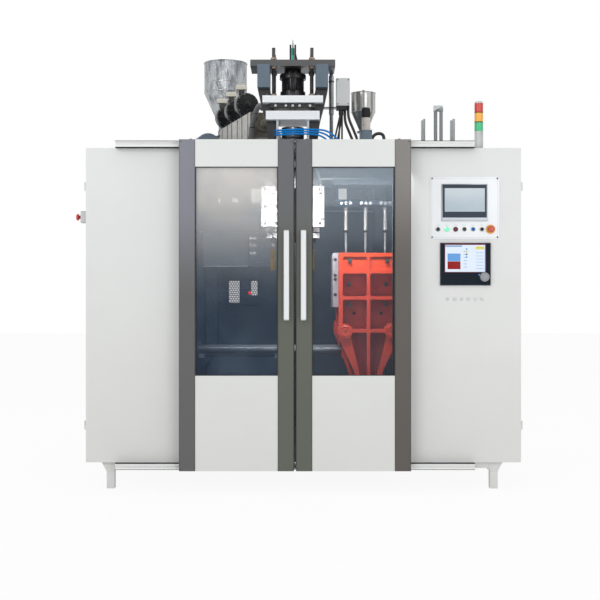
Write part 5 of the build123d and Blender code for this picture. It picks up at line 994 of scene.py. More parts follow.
@dataclass
class Cabinets(Assembly):
    """White cabinets with their base, side doors and door rails."""

    depth: float = 1900.0
    left: Span = (-1276.0, -700.0)
    right: Span = (700.0, 1378.0)
    lip_x: Span = (600.0, 1090.0)
    lip_y: Span = (-52.0, -8.0)
    lip_levels: tuple[Span, ...] = ((2078.0, 2082.0), (2116.0, 2119.5), (127.0, 129.5), (163.0, 166.5))
    screw_z: tuple[float, ...] = (240.0, 640.0, 1040.0, 1440.0, 1840.0, 2020.0)
    side_screw_y: tuple[float, ...] = (980.0, 1400.0, 1820.0)
    back_inset: float = 30.0
    seat: float = 0.2

    def build(self) -> None:
        """Carries the cabinets over and adds their fine pieces."""
        for node in ("left_cabinet", "right_cabinet", "left_service_door", "right_service_door"):
            self.carry(node, "cabinet white paint", edge=1.6)
        self.carry("base_frame", "cabinet white paint", edge=1.2)
        self.carry("door_rails", "rail white paint")
        self.build_rail_channel_shade()
        self.build_screws()

    def build_rail_channel_shade(self) -> None:
        """Dark strips of painted shade in the channels of the rails that carry the sliding doors."""
        shade_strips = self.sketch("rail_channel_shade")
        near, far = self.lip_x
        for level in self.lip_levels:
            for x in ((-far, -near), (near, far)):
                shade_strips.block(x, self.lip_y, level, "painted gap shade", 0.4)
        shade_strips.finished()

    def build_screws(self) -> None:
        """Panel screws on the cabinet sides and backs."""
        for word, face, way in (("left", self.left[0] - self.seat, -1), ("right", self.right[1] + self.seat, 1)):
            side = [(face, y, z) for z in self.screw_z for y in self.side_screw_y]
            self.screws(word + "_side_screws", side, 5.0, 2.6, "bright screw", (way, 0, 0), 20)
        back = [(x, self.depth + self.seat, z) for low, high in (self.left, self.right)
                for x in (low + self.back_inset, high - self.back_inset) for z in self.screw_z]
        self.screws("back_screws", back, 5.0, 2.6, "bright screw", BACK, 20)


@dataclass
class SlidingDoors(Assembly):
    """Two sliding doors: grey profiles with a painted reflection, white panels with faint painted shade, windows with
    painted reflection above painted shade, and white handles.
    """

    inner: float = 6.5
    outer: float = 696.5
    stile: float = 97.0
    front: float = -105.0
    window: Span = (700.0, 1956.0)
    bottom: float = 127.0
    top: float = 2120.0
    seal: float = 4.5
    roller_x: tuple[float, ...] = (70.0, 230.0, 470.0, 630.0)
    roller_behind: float = 52.0
    edge_strip: Span = (588.0, 599.0)
    left_tape: Span = (120.0, 148.0)
    right_tape: Span = (105.0, 116.0)
    tape_z: Span = (1335.0, 1462.0)

    def build(self) -> None:
        """Dresses both doors and adds seals, dark strips of painted shade in the grooves, handles and tape."""
        for side, word in ((-1, "left"), (1, "right")):
            body = word + "_door"
            inner = self.span(side, self.inner, self.inner + self.stile)
            self.carry(body + "_frame", "outer profile " + word, [Zone("inner profile", x=inner)], edge=0.8)
            self.book.dress(body + "_panels", "door panel white paint")
            self.book.dress(body + "_window", word + " window acrylic")
            self.build_handle(body)
            self.build_trim(body, side)
            spots = [(side * x, self.front - 0.1, z) for x in (self.inner + 12, self.outer - 12)
                     for z in (self.bottom + 14, self.top - 14)]
            self.screws(word + "_profile_screws", spots, 3.2, 1.6, "dark screw", sides=16, body=body)
            rollers = [(side * x, self.front + self.roller_behind, self.top - 6) for x in self.roller_x]
            self.screws(word + "_roller_caps", rollers, 13.0, 5.0, "dark screw", sides=24, body=body)

    def span(self, side: int, low: float, high: float) -> Span:
        """A span on one door, from its distances to the gap."""
        return (side * high, side * low) if side < 0 else (low, high)

    def build_handle(self, body: str) -> None:
        """Slim white handle bar with rounded edges, end caps and two stand-offs.

        Args:
            body: The door's body.
        """
        node = body + "_handle"
        low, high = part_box(node)
        x = (low.x * 1000, high.x * 1000)
        y = ((low.y + MIDDLE_Y) * 1000, (high.y + MIDDLE_Y) * 1000)
        z = (low.z * 1000, high.z * 1000)
        bar = self.sketch(node + "_bar", body)
        bar.block(x, (y[0], y[0] + 22), (z[0] + 3, z[1] - 3), "handle white enamel", 4.0)
        for cap in ((z[0], z[0] + 4), (z[1] - 4, z[1])):
            bar.block((x[0] + 1, x[1] - 1), (y[0] + 1, y[0] + 21), cap, "grey box paint")
        middle = (x[0] + x[1]) / 2
        for height in (z[0] + 60, z[1] - 60):
            bar.rod((middle, y[0] + 20, height), (middle, self.front, height), 9.0, "bezel silver")
        bar.finished(node)

    def build_trim(self, body: str, side: int) -> None:
        """Window seal, dark strips of painted shade in the profile grooves and along the right window's edge, closing
        seal and the strip of amber tape.

        Args:
            body: The door's body.
            side: -1 for the left door, 1 for the right one.
        """
        trim = self.sketch(body + "_trim", body)
        glass = self.span(side, self.inner + self.stile, self.outer - self.stile)
        trim.band((glass[0] - 0.5, glass[1] + 0.5), (self.window[0] - 0.5, self.window[1] + 0.5), self.seal,
                  (-101.0, -84.0), "seal rubber")
        # Each profile groove is a dark strip on the face: painted shade.
        for near, far in ((self.inner, self.inner + self.stile), (self.outer - self.stile, self.outer)):
            for at in (near + 1.5, far - 3.0):
                groove = self.span(side, at, at + 1.5)
                trim.block(groove, (self.front - 0.15, self.front + 1), (self.bottom + 1, self.top - 1), "painted gap shade", 0)
        # A dark strip along the right window's edge: painted shade.
        if side > 0:
            trim.block(self.edge_strip, (-83.0, -80.0), (self.window[0] + 2, self.window[1] - 2), "painted gap shade", 0.5)
        meeting = self.span(side, self.inner - 2.5, self.inner)
        trim.block(meeting, (-90.0, -72.0), (self.bottom + 8, self.top - 8), "seal rubber", 0.5)
        tape = self.span(side, *(self.left_tape if side < 0 else self.right_tape))
        trim.block(tape, (-79.0, -77.6), self.tape_z, "amber tape", 0)
        trim.finished()


@dataclass
class OperatorPanel(Assembly):
    """Operator plate with its touch screen, controller, switches and toggles."""

    plate_x: Span = (823.0, 1245.0)
    plate_z: Span = (1526.0, 1907.0)
    trim_inset: float = 9.0
    screw_inset: float = 12.0
    touch_x: Span = (893.0, 1171.0)
    touch_z: Span = (1640.0, 1861.0)
    control_x: Span = (884.0, 1191.0)
    control_z: Span = (1244.0, 1503.0)
    screen_x: Span = (913.0, 1158.0)
    screen_z: Span = (1326.0, 1490.0)
    button_x: float = 871.0
    button_z: float = 1586.0
    button_pitch: float = 53.5
    toggle_x: float = 930.5
    toggle_z: float = 1160.0
    toggle_pitch: float = 42.2
    in_a_row: int = 6

    def build(self) -> None:
        """Dresses the panel and adds frames, screens, rings and screws."""
        self.carry("operator_plate", "brushed plate", [Zone("bright screw", z=(1140, 1200))], edge=0.5)
        self.carry("panel_bezels", "controller housing", [
            Zone("bezel silver", x=(880, 1185), z=(1636, 1865)), Zone("bright screw", z=(1560, 1612))], edge=0.8)
        self.carry("pilot_lamps", "green lamp lens", [Zone("dark red lens", x=(960, 1010))])
        for node, finish in (("key_switch", "black moulded plastic"), ("selector_switch", "black moulded plastic"),
                             ("blue_button", "blue button plastic"), ("black_button", "black moulded plastic"),
                             ("stop_collar", "yellow collar plastic"), ("stop_button", "red button plastic"),
                             ("control_dial", "dial grey plastic"), ("side_stop_box", "grey box paint"),
                             ("side_stop_button", "side button red")):
            self.carry(node, finish)
        self.build_plate_trim()
        self.build_touch()
        self.build_controller()
        self.build_rings()
        corners = [(x, -5.8, z) for x in self.inset(self.plate_x, self.screw_inset)
                   for z in self.inset(self.plate_z, self.screw_inset)]
        self.screws("plate_screws", corners, 4.2, 2.2, "dark screw", sides=20)
        toggles = [(self.toggle_x + self.toggle_pitch * step, -5.0, self.toggle_z) for step in range(self.in_a_row)]
        self.screws("toggle_nuts", toggles, 6.5, 2.4, "column steel")

    def inset(self, span: Span, by: float) -> Span:
        """A span taken in at both ends."""
        return (span[0] + by, span[1] - by)

    def build_plate_trim(self) -> None:
        """A pressed line around the plate, just inside its edge."""
        trim = self.sketch("plate_trim")
        trim.band(self.inset(self.plate_x, self.trim_inset), self.inset(self.plate_z, self.trim_inset), 1.6,
                  (-4.7, -3.6), "bezel silver")
        trim.finished()

    def build_touch(self) -> None:
        """Touch screen: slate mask in its silver frame and a pale screen with a painted sheen."""
        touch = self.sketch("touch_screen")
        x, z = self.touch_x, self.touch_z
        touch.block(self.inset(x, 5), (-17.2, -15.5), (z[0] + 16, z[1] - 5), "bezel slate", 0.6)
        touch.block(self.inset(x, 17), (-17.9, -17.0), (z[0] + 52, z[1] - 26), "touch screen with painted sheen", 0.3)
        touch.block(self.inset(x, -2), (-19.0, -12.0), (z[0] - 3, z[0] + 8), "bezel silver", 1.2)
        touch.finished("panel_screens")

    def build_controller(self) -> None:
        """Controller: a rimmed dark face and a lit screen with plain fields."""
        face = self.sketch("controller_face")
        face.band(self.inset(self.control_x, 1), self.inset(self.control_z, 1), 3.0, (-15.4, -13.6), "bezel slate")
        x, z = self.screen_x, self.screen_z
        wide, tall = x[1] - x[0], z[1] - z[0]
        face.block(self.inset(x, -4), (-15.0, -13.6), (z[0] - 4, z[1] + 9), "screen frame red", 0.4)
        face.block(x, (-15.6, -14.8), z, "screen white", 0.2)
        for left, right, low, high, finish in (
                (0.06, 0.38, 0.40, 0.68, "screen blue"), (0.06, 0.38, 0.10, 0.39, "screen red"),
                (0.76, 0.97, 0.84, 0.94, "screen yellow"), (0.985, 1.0, 0.0, 1.0, "screen blue"),
                (0.0, 0.42, 0.93, 0.98, "screen line")):
            face.block((x[0] + left * wide, x[0] + right * wide), (-16.0, -15.4),
                       (z[0] + low * tall, z[0] + high * tall), finish, 0)
        for row in range(6):
            height = z[0] + 20 + row * 19
            face.block((x[1] - 58, x[1] - 10), (-15.9, -15.4), (height, height + 2), "screen line", 0)
            face.block((x[0] + 112, x[0] + 134), (-15.9, -15.4), (height + 8, height + 11), "screen line", 0)
        for row, finish in enumerate(("screen blue", "screen yellow", "bezel slate", "screen blue")):
            height = z[1] - 30 - row * 16
            face.block((x[0] + 126, x[0] + 135), (-16.0, -15.4), (height, height + 9), finish, 0)
        face.block((1116.0, 1126.0), (-15.2, -13.6), (1303.0, 1313.0), "screen blue", 0.3)
        face.turned((1152.0, -13.8, 1295.0), FRONT, [(0, 31), (1.2, 31), (1.8, 30)], "bezel slate", 40)
        face.finished()

    def build_rings(self) -> None:
        """Bright rings round the switches and the marks above them."""
        rings = self.sketch("switch_rings")
        outline = [(0.0, 11.2), (0.0, 15.5), (2.2, 15.2), (3.4, 13.6), (3.4, 11.2)]
        for step in range(self.in_a_row):
            x = self.button_x + self.button_pitch * step
            finish = "bezel silver" if step else "dark screw"
            rings.turned((x, -4.0, self.button_z), FRONT, outline, finish, 28, True)
            rings.block((x - 12, x + 12), (-4.4, -3.8), (self.button_z + 24, self.button_z + 26.5), "bezel silver", 0)
        rings.finished()


@dataclass
class HeadTower(Assembly):
    """Head tower: die head, legs, cylinder, stays, plates and the sensor on top."""

    x: float = -18.0
    y: float = 680.0
    stay_reach: float = 148.0
    die_pitch: float = 132.0
    plate_z: Span = (2702.0, 2744.0)
    column: Span = (244.0, 790.0)

    def build(self) -> None:
        """Carries the tower over and adds its bands and bolts."""
        self.carry("die_head", "black oiled steel", [Zone("cast blue grey paint", z=(2080, 2152))], edge=0.8)
        self.carry("head_guards", "guard white enamel", edge=1.0)
        stays = (self.x - self.stay_reach, self.x + self.stay_reach)
        self.carry("tower_legs", "black oiled steel", [
            Zone("nut brass", x=stays, z=level) for level in ((2744, 2760), (2688, 2702), (2503, 2520))])
        self.carry("tower_top", "cast blue grey paint", [Zone("worn plate steel", z=self.plate_z, y=(540, 700))], 1.2)
        for node in ("upper_plate", "crosshead"):
            self.carry(node, "ground face steel", edge=1.0)
        self.carry("head_cylinder", "black oiled steel")
        self.carry("head_sensor", "black moulded plastic", [Zone("hard chrome", z=(2869, 2910))])
        self.carry("bright_bars", "guide bar steel", [Zone("column steel", z=(2000, 2710))])
        self.build_bands()
        self.build_bolts()

    def build_bands(self) -> None:
        """Heater bands with their clamps round the head's body and dies, and sleeves on the column."""
        bands = self.sketch("heater_bands")
        x, y = self.x, self.y
        for low in (2160.0, 2200.0, 2240.0, 2280.0):
            finish = "worn plate steel" if low < 2250 else "black oiled steel"
            bands.ring((x, y, low), 71, 75, 30, finish, 40)
            bands.block((x - 9, x + 9), (y - 86, y - 73), (low + 4, low + 26), "bright screw", 1.0)
        for die in (x - self.die_pitch, x + self.die_pitch):
            for low in (1570.0, 1610.0):
                bands.ring((die, y, low), 44.5, 48, 32, "guard white enamel", 32)
                bands.block((die - 7, die + 7), (y - 58, y - 46), (low + 6, low + 26), "bright screw", 1.0)
        bands.block((x - 150, x + 150), (y - 118, y + 118), (2426.0, 2457.0), "black oiled steel", 2.0)
        bands.block((x - 8, x + 6), (y - 41, y - 35), (2750.0, 2792.0), "sensor green plastic", 1.0)
        bands.block((x - 3, x + 2), (y - 41, y - 36), (2792.0, 2846.0), "sensor green plastic", 1.0)
        sleeve = [(0, 12.8), (0, 17), (262, 17), (266, 15), (266, 12.8)]
        bands.turned((*self.column, 2420.0), UP, sleeve, "column steel", 36, True)
        bands.ring((*self.column, 2640.0), 17, 19, 10, "black oiled steel", 36)
        bands.finished()

    def build_bolts(self) -> None:
        """Bolts on the plates, guards, head and cylinder."""
        x, y = self.x, self.y
        around = [(x + 76 * math.cos(a), y + 76 * math.sin(a), 2666.0) for a in turns(12, 0.5)]
        self.screws("cylinder_bolts", around, 6.5, 8.0, "dark screw", UP)
        foot = [(x + dx, y + dy, 2503.0) for dx in (-170, 170) for dy in (-120, 120)]
        self.screws("upper_plate_bolts", foot, 9.0, 8.0, "bright screw", UP)
        adjusters = [(x + step * 38, 561.8, 2441.0) for step in (-3, -1.2, 0, 1.2, 3)]
        self.screws("adjuster_nuts", adjusters, 6.5, 12.0, "bright screw")
        guard = [(x + side * dx, 559.8, z) for side in (-1, 1) for dx in (106, 182) for z in (1662.0, 1775.0, 1888.0)]
        self.screws("guard_screws", guard, 8.0, 3.0, "dark screw", sides=20)
        face = [(x + dx, 600.0, z) for dx in (-170, -60, 60, 170) for z in (1922.0, 2026.0)]
        self.screws("manifold_bolts", face, 8.0, 7.0, "dark screw")


@dataclass
class ExtrusionUnit(Assembly):
    """Main extruder behind the left cabinet: hopper, barrel covers, blowers, drive."""

    throat: Span = (-573.0, 2184.0)
    turn: float = math.radians(18.55)
    hopper_wall: float = 2.0
    small_hopper: Point = (477.0, 1050.0, 2347.5)
    blower_radius: float = 86.0
    blower_z: float = 2599.0
    blower_across: float = 46.0
    half_drum: float = 45.0
    face_depth: float = 86.0
    screw_inset: float = 9.0
    rib_reach: Span = (30.0, 66.0)
    first_blower: float = -200.0
    blower_pitch: float = 290.0
    loom_radius: float = 19.0
    strap_radius: float = 2.6
    strap_places: tuple[float, ...] = (-120.0, -238.0, -400.0, -530.0, -690.0, -820.0, -980.0)

    def spot(self, along: float, across: float, z: float) -> Point:
        """A point on the extruder, counted from the throat.

        Args:
            along: How far towards the rear.
            across: How far to the left of the barrel's line.
            z: Its height over the floor.

        Returns:
            The point, in millimetres.
        """
        u = (-math.sin(self.turn), math.cos(self.turn))
        n = (-math.cos(self.turn), -math.sin(self.turn))
        return (self.throat[0] + along * u[0] + across * n[0], self.throat[1] + along * u[1] + across * n[1], z)

    def build(self) -> None:
        """Builds the hoppers and the blowers anew and dresses the rest."""
        self.build_hoppers()
        self.build_blowers()
        self.carry("extruder_barrel", "zone cover wrap", [Zone("zone cover beige", x=(-330, 0))], edge=1.2)
        self.carry("extruder_drive", "frame blue grey paint", edge=1.5)
        self.build_straps()

    def build_hoppers(self) -> None:
        """Both hoppers: rolled rims, cylinders, cones and throats of thin sheet, streaked with painted reflection."""
        x, y = self.throat
        t = self.hopper_wall
        sheet = self.sketch("hopper_shells")
        large = [(0, 56), (32, 56), (96, 57), (349, 171.4), (356, 172), (586, 172), (588, 176), (591, 178), (594, 176),
                 (594, 170), (356, 172 - t), (349, 171.4 - t), (98, 57 - t), (0, 56 - t)]
        sheet.turned((x, y, 2477.0), UP, large, "hopper sheet steel with painted reflection", 72, True)
        for height in (2826.0, 2900.0):
            bead = [(0, 171.6), (1.5, 173.0), (4, 173.0), (5.5, 171.6)]
            sheet.turned((x, y, height), UP, bead, "polished sheet steel with painted reflection", 72, True)
        sheet.ring((x, y, 2470.0), 56, 82, 12, "worn plate steel", 40)
        x, y, low = self.small_hopper
        small = [(0, 26), (4, 28), (129, 84.5), (131, 85.5), (262, 85.5), (264, 88.5), (268, 88), (272, 70), (276, 12),
                 (290, 10), (292, 0)]
        sheet.turned((x, y, low), UP, small, "polished sheet steel with painted reflection", 56)
        bead = [(0, 85.4), (1, 86.4), (3, 86.4), (4, 85.4)]
        sheet.turned((x, y, low + 130), UP, bead, "bright screw", 56, True)
        throats = self.sketch("hopper_throats")
        throats.rod((x, y, 2159.0), (x, y, low + 2), 27.0, "worn plate steel")
        throats.block((x - 45, x + 45), (y - 45, y + 45), (2200.0, 2262.0), "small housing paint", 2.0)
        throats.ring((x, y, low - 12), 26, 44, 10, "worn plate steel", 32)
        throats.finished()
        sheet.finished("hoppers")

    def build_blowers(self) -> None:
        """Three cooling blowers: black drums with grey rims, ribbed faces and terminal boxes."""
        drums = self.sketch("blower_drums")
        screws = []
        front = Vector(self.spot(-1, 0, 0)) - Vector(self.spot(0, 0, 0))
        side = front.cross(Vector(UP)).normalized()

        def spokes(count: int) -> list[Vector]:
            """Directions that stand evenly round a drum's axis."""
            return [side * math.cos(angle) + Vector(UP) * math.sin(angle) for angle in turns(count)]
        r = self.blower_radius
        drum = [(0, r * 0.55), (2, r * 0.8), (6, r - 6), (14, r - 2), (16, r), (30, r), (31, r - 3), (60, r - 3),
                (61, r), (80, r), (84, r - 2), (88, r - 5), (88, r - 14), (85, r - 16), (85, r * 0.34), (90, r * 0.30),
                (92, r * 0.2), (92, 0)]
        rim = [(30.5, r - 2.8), (30.5, r - 0.4), (60.5, r - 0.4), (60.5, r - 2.8)]
        for step in range(3):
            along = self.first_blower - step * self.blower_pitch
            centre = Vector(self.spot(along + self.half_drum, self.blower_across, self.blower_z))
            drums.turned(tuple(centre), tuple(front), drum, "blower black", 64)
            drums.turned(tuple(centre), tuple(front), rim, "blower rim grey", 64)
            x, y, _ = self.spot(along, self.blower_across, 0)
            drums.block((x - 38, x + 38), (y - 30, y + 30), (2504.0, 2530.0), "blower black", 3.0)
            x, y, _ = self.spot(along + 10, 70, 0)
            drums.block((x - 30, x + 14), (y - 16, y + 24), (2676.0, 2714.0), "blower black", 2.0)
            drums.block((x - 50, x + 30), (y - 26, y + 34), (2712.0, 2746.0), "ivory plastic", 3.0)
            face = centre + front * self.face_depth
            screws += [tuple(face + spoke * (r - self.screw_inset)) for spoke in spokes(10)]
            for spoke in spokes(8):
                inner, outer = (tuple(face + spoke * reach) for reach in self.rib_reach)
                drums.rod(inner, outer, 2.2, "blower black", sides=8)
        drums.finished("blowers")
        self.screws("blower_screws", screws, 3.4, 5.0, "bright screw", tuple(front), 12)

    def build_straps(self) -> None:
        """Straps across the wrapped zone covers, and the sleeved loom down their front corner."""
        straps = self.sketch("zone_straps")
        path = [(-246.0, 1340.0, 2560.0), (-262.0, 1150.0, 2545.0), (-290.0, 1112.0, 2480.0), (-312.0, 1104.0, 2380.0),
                (-324.0, 1106.0, 2240.0), (-326.0, 1110.0, 2083.0)]
        straps.pipe(path, self.loom_radius, "grey cable sleeve", 18)
        clip = [(-3, 19), (-3, 20.5), (3, 20.5), (3, 19)]
        for start in path[1:5]:
            straps.turned(start, (0.1, 0.0, -1.0), clip, "black moulded plastic", 24, True)
        for along in self.strap_places:
            for start, end in (((-91.2, 2327.0), (-91.2, 2503.0)), ((91.2, 2327.0), (91.2, 2503.0)),
                               ((-90.0, 2505.6), (90.0, 2505.6))):
                straps.rod(self.spot(along, *start), self.spot(along, *end), self.strap_radius, "dark screw", sides=8)
        straps.finished()


@dataclass
class SmallExtruder(Assembly):
    """Small extruder for the stripe, with its motor and housing."""

    x: float = 487.0
    y: float = 900.0
    half_width: float = 32.0

    def build(self) -> None:
        """Dresses the housing, gear case and motor and adds motor ribs."""
        self.carry("small_extruder", "small housing paint", [
            Zone("motor cream paint", x=(440, 530), z=(2329, 2418)),
            Zone("black moulded plastic", x=(440, 530), z=(2417, 2500))], edge=0.8)
        ribs = [(self.x + 28.0 * math.cos(a), self.y + 28.0 * math.sin(a), 2450.0) for a in turns(18)]
        self.repeats.grow("small_motor_ribs", self.repeats.bars, ribs, "black moulded plastic",
                          {"Size": [0.003, 0.003, 0.052]}, UP)
        rings = self.sketch("gear_rings")
        for z in (2340.0, 2365.0, 2390.0, 2410.0):
            rings.turned((self.x, self.y, z), UP, [(0, 29.8), (1, 32), (4, 32), (5, 29.8)], "motor cream paint", 32,
                         True)
        rings.finished()
        spots = [(x, 858.8, z) for x in (self.x - self.half_width, self.x + self.half_width) for z in (2255.0, 2318.0)]
        self.screws("small_housing_screws", spots, 4.0, 4.0, "dark screw")


@dataclass
class Clamp(Assembly):
    """Clamp on its carriage: orange platens, moulds, tie bars and yoke."""

    x: float = 470.0
    bolt_reach: float = 120.0
    bolt_z: tuple[float, ...] = (1408.0, 1257.0, 1125.0)
    boss_z: float = 956.0

    def build(self) -> None:
        """Dresses the clamp and adds its bolts, rings and mould fittings."""
        self.carry("front_platen", "orange casting paint", [Zone("orange pocket paint", y=(362, 480))], edge=2.0)
        for node, finish, edge in (("back_platen", "orange casting paint", 2.0),
                                   ("clamp_yoke", "orange casting paint", 1.5),
                                   ("carriage", "orange casting paint", 1.5),
                                   ("moulds_front", "mould aluminium", 1.2), ("moulds_back", "mould aluminium", 1.2),
                                   ("tie_bars", "hard chrome", 0.0), ("clamp_rod", "hard chrome", 0.0),
                                   ("shuttle_cylinder", "cylinder grey paint", 0.8)):
            self.carry(node, finish, edge=edge)
        self.build_platen_details()

    def build_platen_details(self) -> None:
        """Boss rings, bolts, dark plugs of painted shade in the holes, and eyes on the front platen, and mould edge
        bolts.
        """
        detail = self.sketch("platen_details", "front_half")
        boss = [(0, 36), (1.0, 36), (2.5, 34), (2.5, 27), (1.2, 25), (1.2, 0)]
        for x in (321.0, 619.0):
            detail.turned((x, 331.0, self.boss_z), FRONT, boss, "orange casting paint", 40)
            detail.turned((x, 330.0, self.boss_z), FRONT, [(0, 7), (2.4, 6), (2.4, 0)], "dark screw", 20)
        # The holes are dark plugs: painted shade.
        for x in (382.0, 558.0):
            detail.turned((x, 452.0, 1069.0), FRONT, [(0, 10), (9, 10), (9, 0)], "painted gap shade", 24)
        detail.finished()
        bolts = [(x, 462.0 if z < 1350 else 360.0, z) for x in (self.x - self.bolt_reach, self.x + self.bolt_reach)
                 for z in self.bolt_z]
        self.screws("platen_bolts", bolts, 11.0, 24.0, "worn plate steel", body="front_half")
        edge = [(261.0, 494.8, z) for z in (1420.0, 1316.0, 1291.0, 1190.0)]
        self.screws("mould_edge_bolts", edge, 8.0, 5.0, "dark screw", body="front_half")
        crown = [(x, 400.0, 1458.0) for x in (310.0, 630.0)]
        self.screws("platen_eyes", crown, 9.0, 12.0, "dark screw", UP, body="front_half")


@dataclass
class BlowStation(Assembly):
    """Blow pins on their carrier and the lift above it."""

    x: float = 470.0
    pitch: float = 132.0
    y: float = 680.0

    def build(self) -> None:
        """Dresses pins, carrier and lift and adds collars and groups of bolts."""
        self.carry("blow_pins", "pin steel", [Zone("carrier slate paint", z=(1779, 1990))])
        self.carry("lift", "column steel", [Zone("carrier slate paint", z=(1690, 2082))])
        collars = self.sketch("pin_collars", "pin_carrier")
        lower = [(0, 13.2), (0, 15), (3, 16), (13, 16), (16, 15), (16, 13.2)]
        upper = [(0, 10.6), (0, 16), (18, 18), (18, 10.6)]
        middles = (self.x - self.pitch, self.x, self.x + self.pitch)
        for x in middles:
            collars.turned((x, self.y, 1608.0), UP, lower, "black moulded plastic", 28, True)
            collars.turned((x, self.y, 1762.0), UP, upper, "bright screw", 28, True)
        collars.finished()
        heads = [(x + shift, 640.0, 1803.0) for x in middles for shift in (-30, 0, 30)]
        self.screws("carrier_bolts", heads, 8.0, 6.0, "bright screw", body="pin_carrier")


@dataclass
class BayInterior(Assembly):
    """Inside of the working bay: linings of painted shade, rear guard with its mesh, beams and guards, their paint
    darker towards the bottom as painted shade.
    """

    wall: Span = (698.5, 700.0)
    lining_y: Span = (15.0, 1839.0)
    lining_z: Span = (167.0, 2068.0)
    floor_z: Span = (165.2, 167.0)
    post_x: tuple[Span, ...] = ((-699.0, -622.0), (-591.0, -498.0), (-451.0, -397.0), (-273.0, 40.0), (120.0, 330.0),
                                (395.0, 699.0))
    guard_y: Span = (1496.0, 1509.0)
    vent_x: Span = (-525.0, -299.0)
    vent_z: Span = (1132.0, 1308.0)
    vent_y: Span = (1828.0, 1839.6)
    vent_rim: float = 18.0
    cell: float = 11.0
    strand: float = 0.0026

    def build(self) -> None:
        """Dresses the bay and adds its linings of painted shade, posts, guard, looms, plate and mesh."""
        self.carry("rear_guard", "bay paint with painted shade")
        self.carry("upper_frame", "bay paint with painted shade", [
            Zone("frame blue grey paint", y=(1841, 2600)), Zone("frame blue grey paint", z=(2069, 2083))])
        self.carry("cabinet_equipment", "grey box paint", edge=1.0)
        self.build_shade_linings()
        self.build_posts()
        self.build_guard()
        self.build_looms()
        self.build_bracket()
        self.build_mesh()
        self.build_vent_frame()

    def build_shade_linings(self) -> None:
        """Thin dark sheets of painted shade on the bay's walls and floor."""
        sheets = self.sketch("bay_shade_linings")
        near, far = self.wall
        for x in ((-far, -near), (near, far)):
            sheets.block(x, self.lining_y, self.lining_z, "bay paint with painted shade", 0)
        sheets.block((-near, near), self.lining_y, self.floor_z, "bay paint with painted shade", 0)
        sheets.finished()

    def build_posts(self) -> None:
        """Posts on top of the rear guard, with pale gaps between them, and two beams."""
        posts = self.sketch("rear_posts")
        for x in self.post_x:
            posts.block(x, (1842.0, 1870.0), (1915.0, 2069.0), "bay hazy steel", 1.0)
        posts.block((-697.0, 697.0), (1815.0, 1839.5), (1884.0, 1914.0), "bay hazy steel", 1.5)
        posts.block((-697.0, 697.0), (1822.0, 1839.5), (1840.0, 1850.0), "bay hazy steel", 1.0)
        posts.finished()

    def build_guard(self) -> None:
        """Clear splash guard on the left wall, in its frame."""
        guard = self.sketch("splash_guard")
        guard.block((-698.0, -294.0), (1500.0, 1505.0), (1410.0, 1766.0), "splash guard acrylic", 1.0)
        for x, z in (((-698.0, -292.0), (1404.0, 1411.0)), ((-698.0, -292.0), (1765.0, 1772.0)),
                     ((-297.0, -290.0), (1404.0, 1772.0))):
            guard.block(x, self.guard_y, z, "bay hazy steel", 1.0)
        guard.finished()

    def build_looms(self) -> None:
        """Two looms clipped to the fronts of the head guards."""
        looms = self.sketch("bay_looms")
        looms.pipe([(-222.0, 556.0, 2069.0), (-196.0, 553.0, 2010.0), (-150.0, 553.0, 1948.0), (-116.0, 553.0, 1880.0),
                    (-108.0, 553.0, 1780.0), (-108.0, 554.0, 1650.0)], 7.0, "grey cable sleeve")
        looms.pipe([(112.0, 553.0, 2069.0), (150.0, 553.0, 1990.0), (168.0, 553.0, 1905.0), (160.0, 553.0, 1800.0),
                    (176.0, 553.0, 1720.0), (178.0, 554.0, 1650.0)], 5.0, "guard white enamel")
        for x, z in ((-109.0, 1860.0), (-108.0, 1700.0), (165.0, 1860.0), (177.0, 1690.0)):
            looms.block((x - 10, x + 10), (545.0, 561.0), (z - 4, z + 4), "black moulded plastic", 1.0)
        looms.finished()

    def build_bracket(self) -> None:
        """Bolted dark plate on two bars from the rear guard."""
        plate = self.sketch("bracket_plate")
        plate.block((-354.0, -144.0), (1400.0, 1414.0), (1400.0, 1640.0), "carrier slate paint", 2.0)
        plate.block((-330.0, -170.0), (1392.0, 1400.0), (1420.0, 1452.0), "carrier slate paint", 1.5)
        for x in (-330.0, -168.0):
            plate.rod((x, 1414.0, 1600.0), (x, 1840.0, 1600.0), 14.0, "bay paint with painted shade")
        plate.finished()
        spots = [(x, 1399.8, z) for x in (-332.0, -305.0, -170.0) for z in (1500.0, 1560.0, 1612.0)]
        self.screws("bracket_bolts", spots, 9.0, 7.0, "bright screw")

    def build_mesh(self) -> None:
        """Expanded mesh over the rear guard's opening."""
        cells = []
        step_x, step_z = self.cell * math.sqrt(3), self.cell * 1.5
        rows = int((self.vent_z[1] - self.vent_z[0]) / step_z) + 2
        columns = int((self.vent_x[1] - self.vent_x[0]) / step_x) + 2
        for row in range(rows):
            for column in range(columns):
                x = self.vent_x[0] + column * step_x + (row % 2) * step_x / 2
                z = self.vent_z[0] + row * step_z
                if x < self.vent_x[1] + self.cell and z < self.vent_z[1] + self.cell:
                    cells.append((x, 1836.0, z))
        self.repeats.grow("vent_mesh", self.repeats.cells, cells, "bay paint with painted shade",
                          {"Radius": self.cell / 1000, "Strand": self.strand})

    def build_vent_frame(self) -> None:
        """The mesh's frame with its bars and one lit indicator."""
        rim = self.sketch("vent_frame")
        (left, right), (low, high) = self.vent_x, self.vent_z
        rim.band((left - self.vent_rim, right + self.vent_rim), (low - self.vent_rim, high + self.vent_rim), 20.0,
                 self.vent_y, "bay paint with painted shade")
        for x in ((-440.0, -427.0), (-362.0, -354.0)):
            rim.block(x, self.vent_y, (low - 10, high + 10), "bay paint with painted shade")
        rim.block((-430.0, -290.0), (1826.0, self.vent_y[1]), (low - 10, 1190.0), "bay paint with painted shade")
        rim.turned((-360.0, 1828.0, 1210.0), FRONT, [(0, 12), (3, 11), (6, 7), (7, 0)], "red indicator", 20)
        rim.finished()


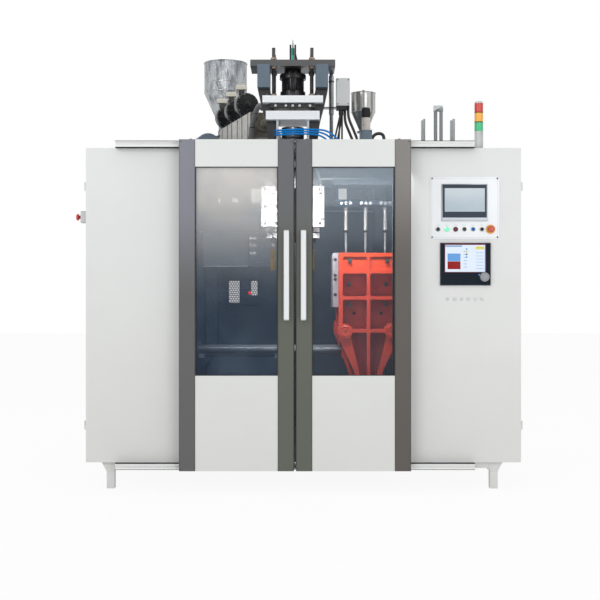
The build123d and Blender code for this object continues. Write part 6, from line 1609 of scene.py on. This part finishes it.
@dataclass
class Services(Assembly):
    """Junction box, conduits, air hoses and cable bundles on the machine's top."""

    def build(self) -> None:
        """Dresses the services and adds the box's lid and its screws."""
        self.carry("junction_box", "grey box paint", [Zone("black moulded plastic", z=(2380, 2452))], edge=1.5)
        self.carry("conduits", "black cable rubber")
        self.carry("air_hoses", "blue hose plastic")
        lid = self.sketch("junction_lid")
        lid.block((274.0, 359.0), (616.6, 620.4), (2455.0, 2632.0), "grey box paint", 1.2)
        lid.finished()
        screws = [(x, 616.6, z) for x in (281.0, 352.0) for z in (2463.0, 2624.0)]
        self.screws("junction_screws", screws, 3.4, 2.0, "dark screw", sides=16)


@dataclass
class SignalTower(Assembly):
    """Signal tower on the right cabinet: three lenses between black rings."""

    x: float = 1130.0
    y: float = 60.0
    radius: float = 26.5
    lens: float = 54.0
    ribs: int = 9

    def build(self) -> None:
        """Builds ribbed lenses and dresses the stem."""
        lenses = self.sketch("signal_lens_stack")
        outline = [(0, self.radius - 1.0)]
        for step in range(self.ribs):
            start = self.lens * step / self.ribs
            end = start + self.lens / self.ribs
            outline += [(start + 0.4, self.radius), (end - 0.6, self.radius), (end - 0.2, self.radius - 0.7)]
        outline.append((self.lens, self.radius - 1.0))
        for low, colour in ((2191.0, "green"), (2250.0, "amber"), (2309.0, "red")):
            lenses.turned((self.x, self.y, low), UP, outline, "signal " + colour, 48)
        lenses.finished("signal_lenses")
        self.carry("signal_tower", "grey box paint", [
            Zone("black moulded plastic", z=level) for level in ((2244, 2251), (2303, 2310))])


def main() -> None:
    """Builds the studio and every part of the machine."""
    logging.basicConfig(level=logging.INFO, format="%(message)s")
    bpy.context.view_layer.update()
    bpy.context.scene.view_settings.view_transform = "Standard"
    Studio().build()
    book = FinishBook(SurfaceEffects(), FINISHES)
    repeats = Repeats(book)
    for part in (Cabinets, SlidingDoors, OperatorPanel, HeadTower, ExtrusionUnit, SmallExtruder, Clamp, BlowStation,
                 BayInterior, Services, SignalTower):
        LOG.info("-- %s", part.__name__)
        part(book, repeats).build()


if __name__ == "__main__":
    main()
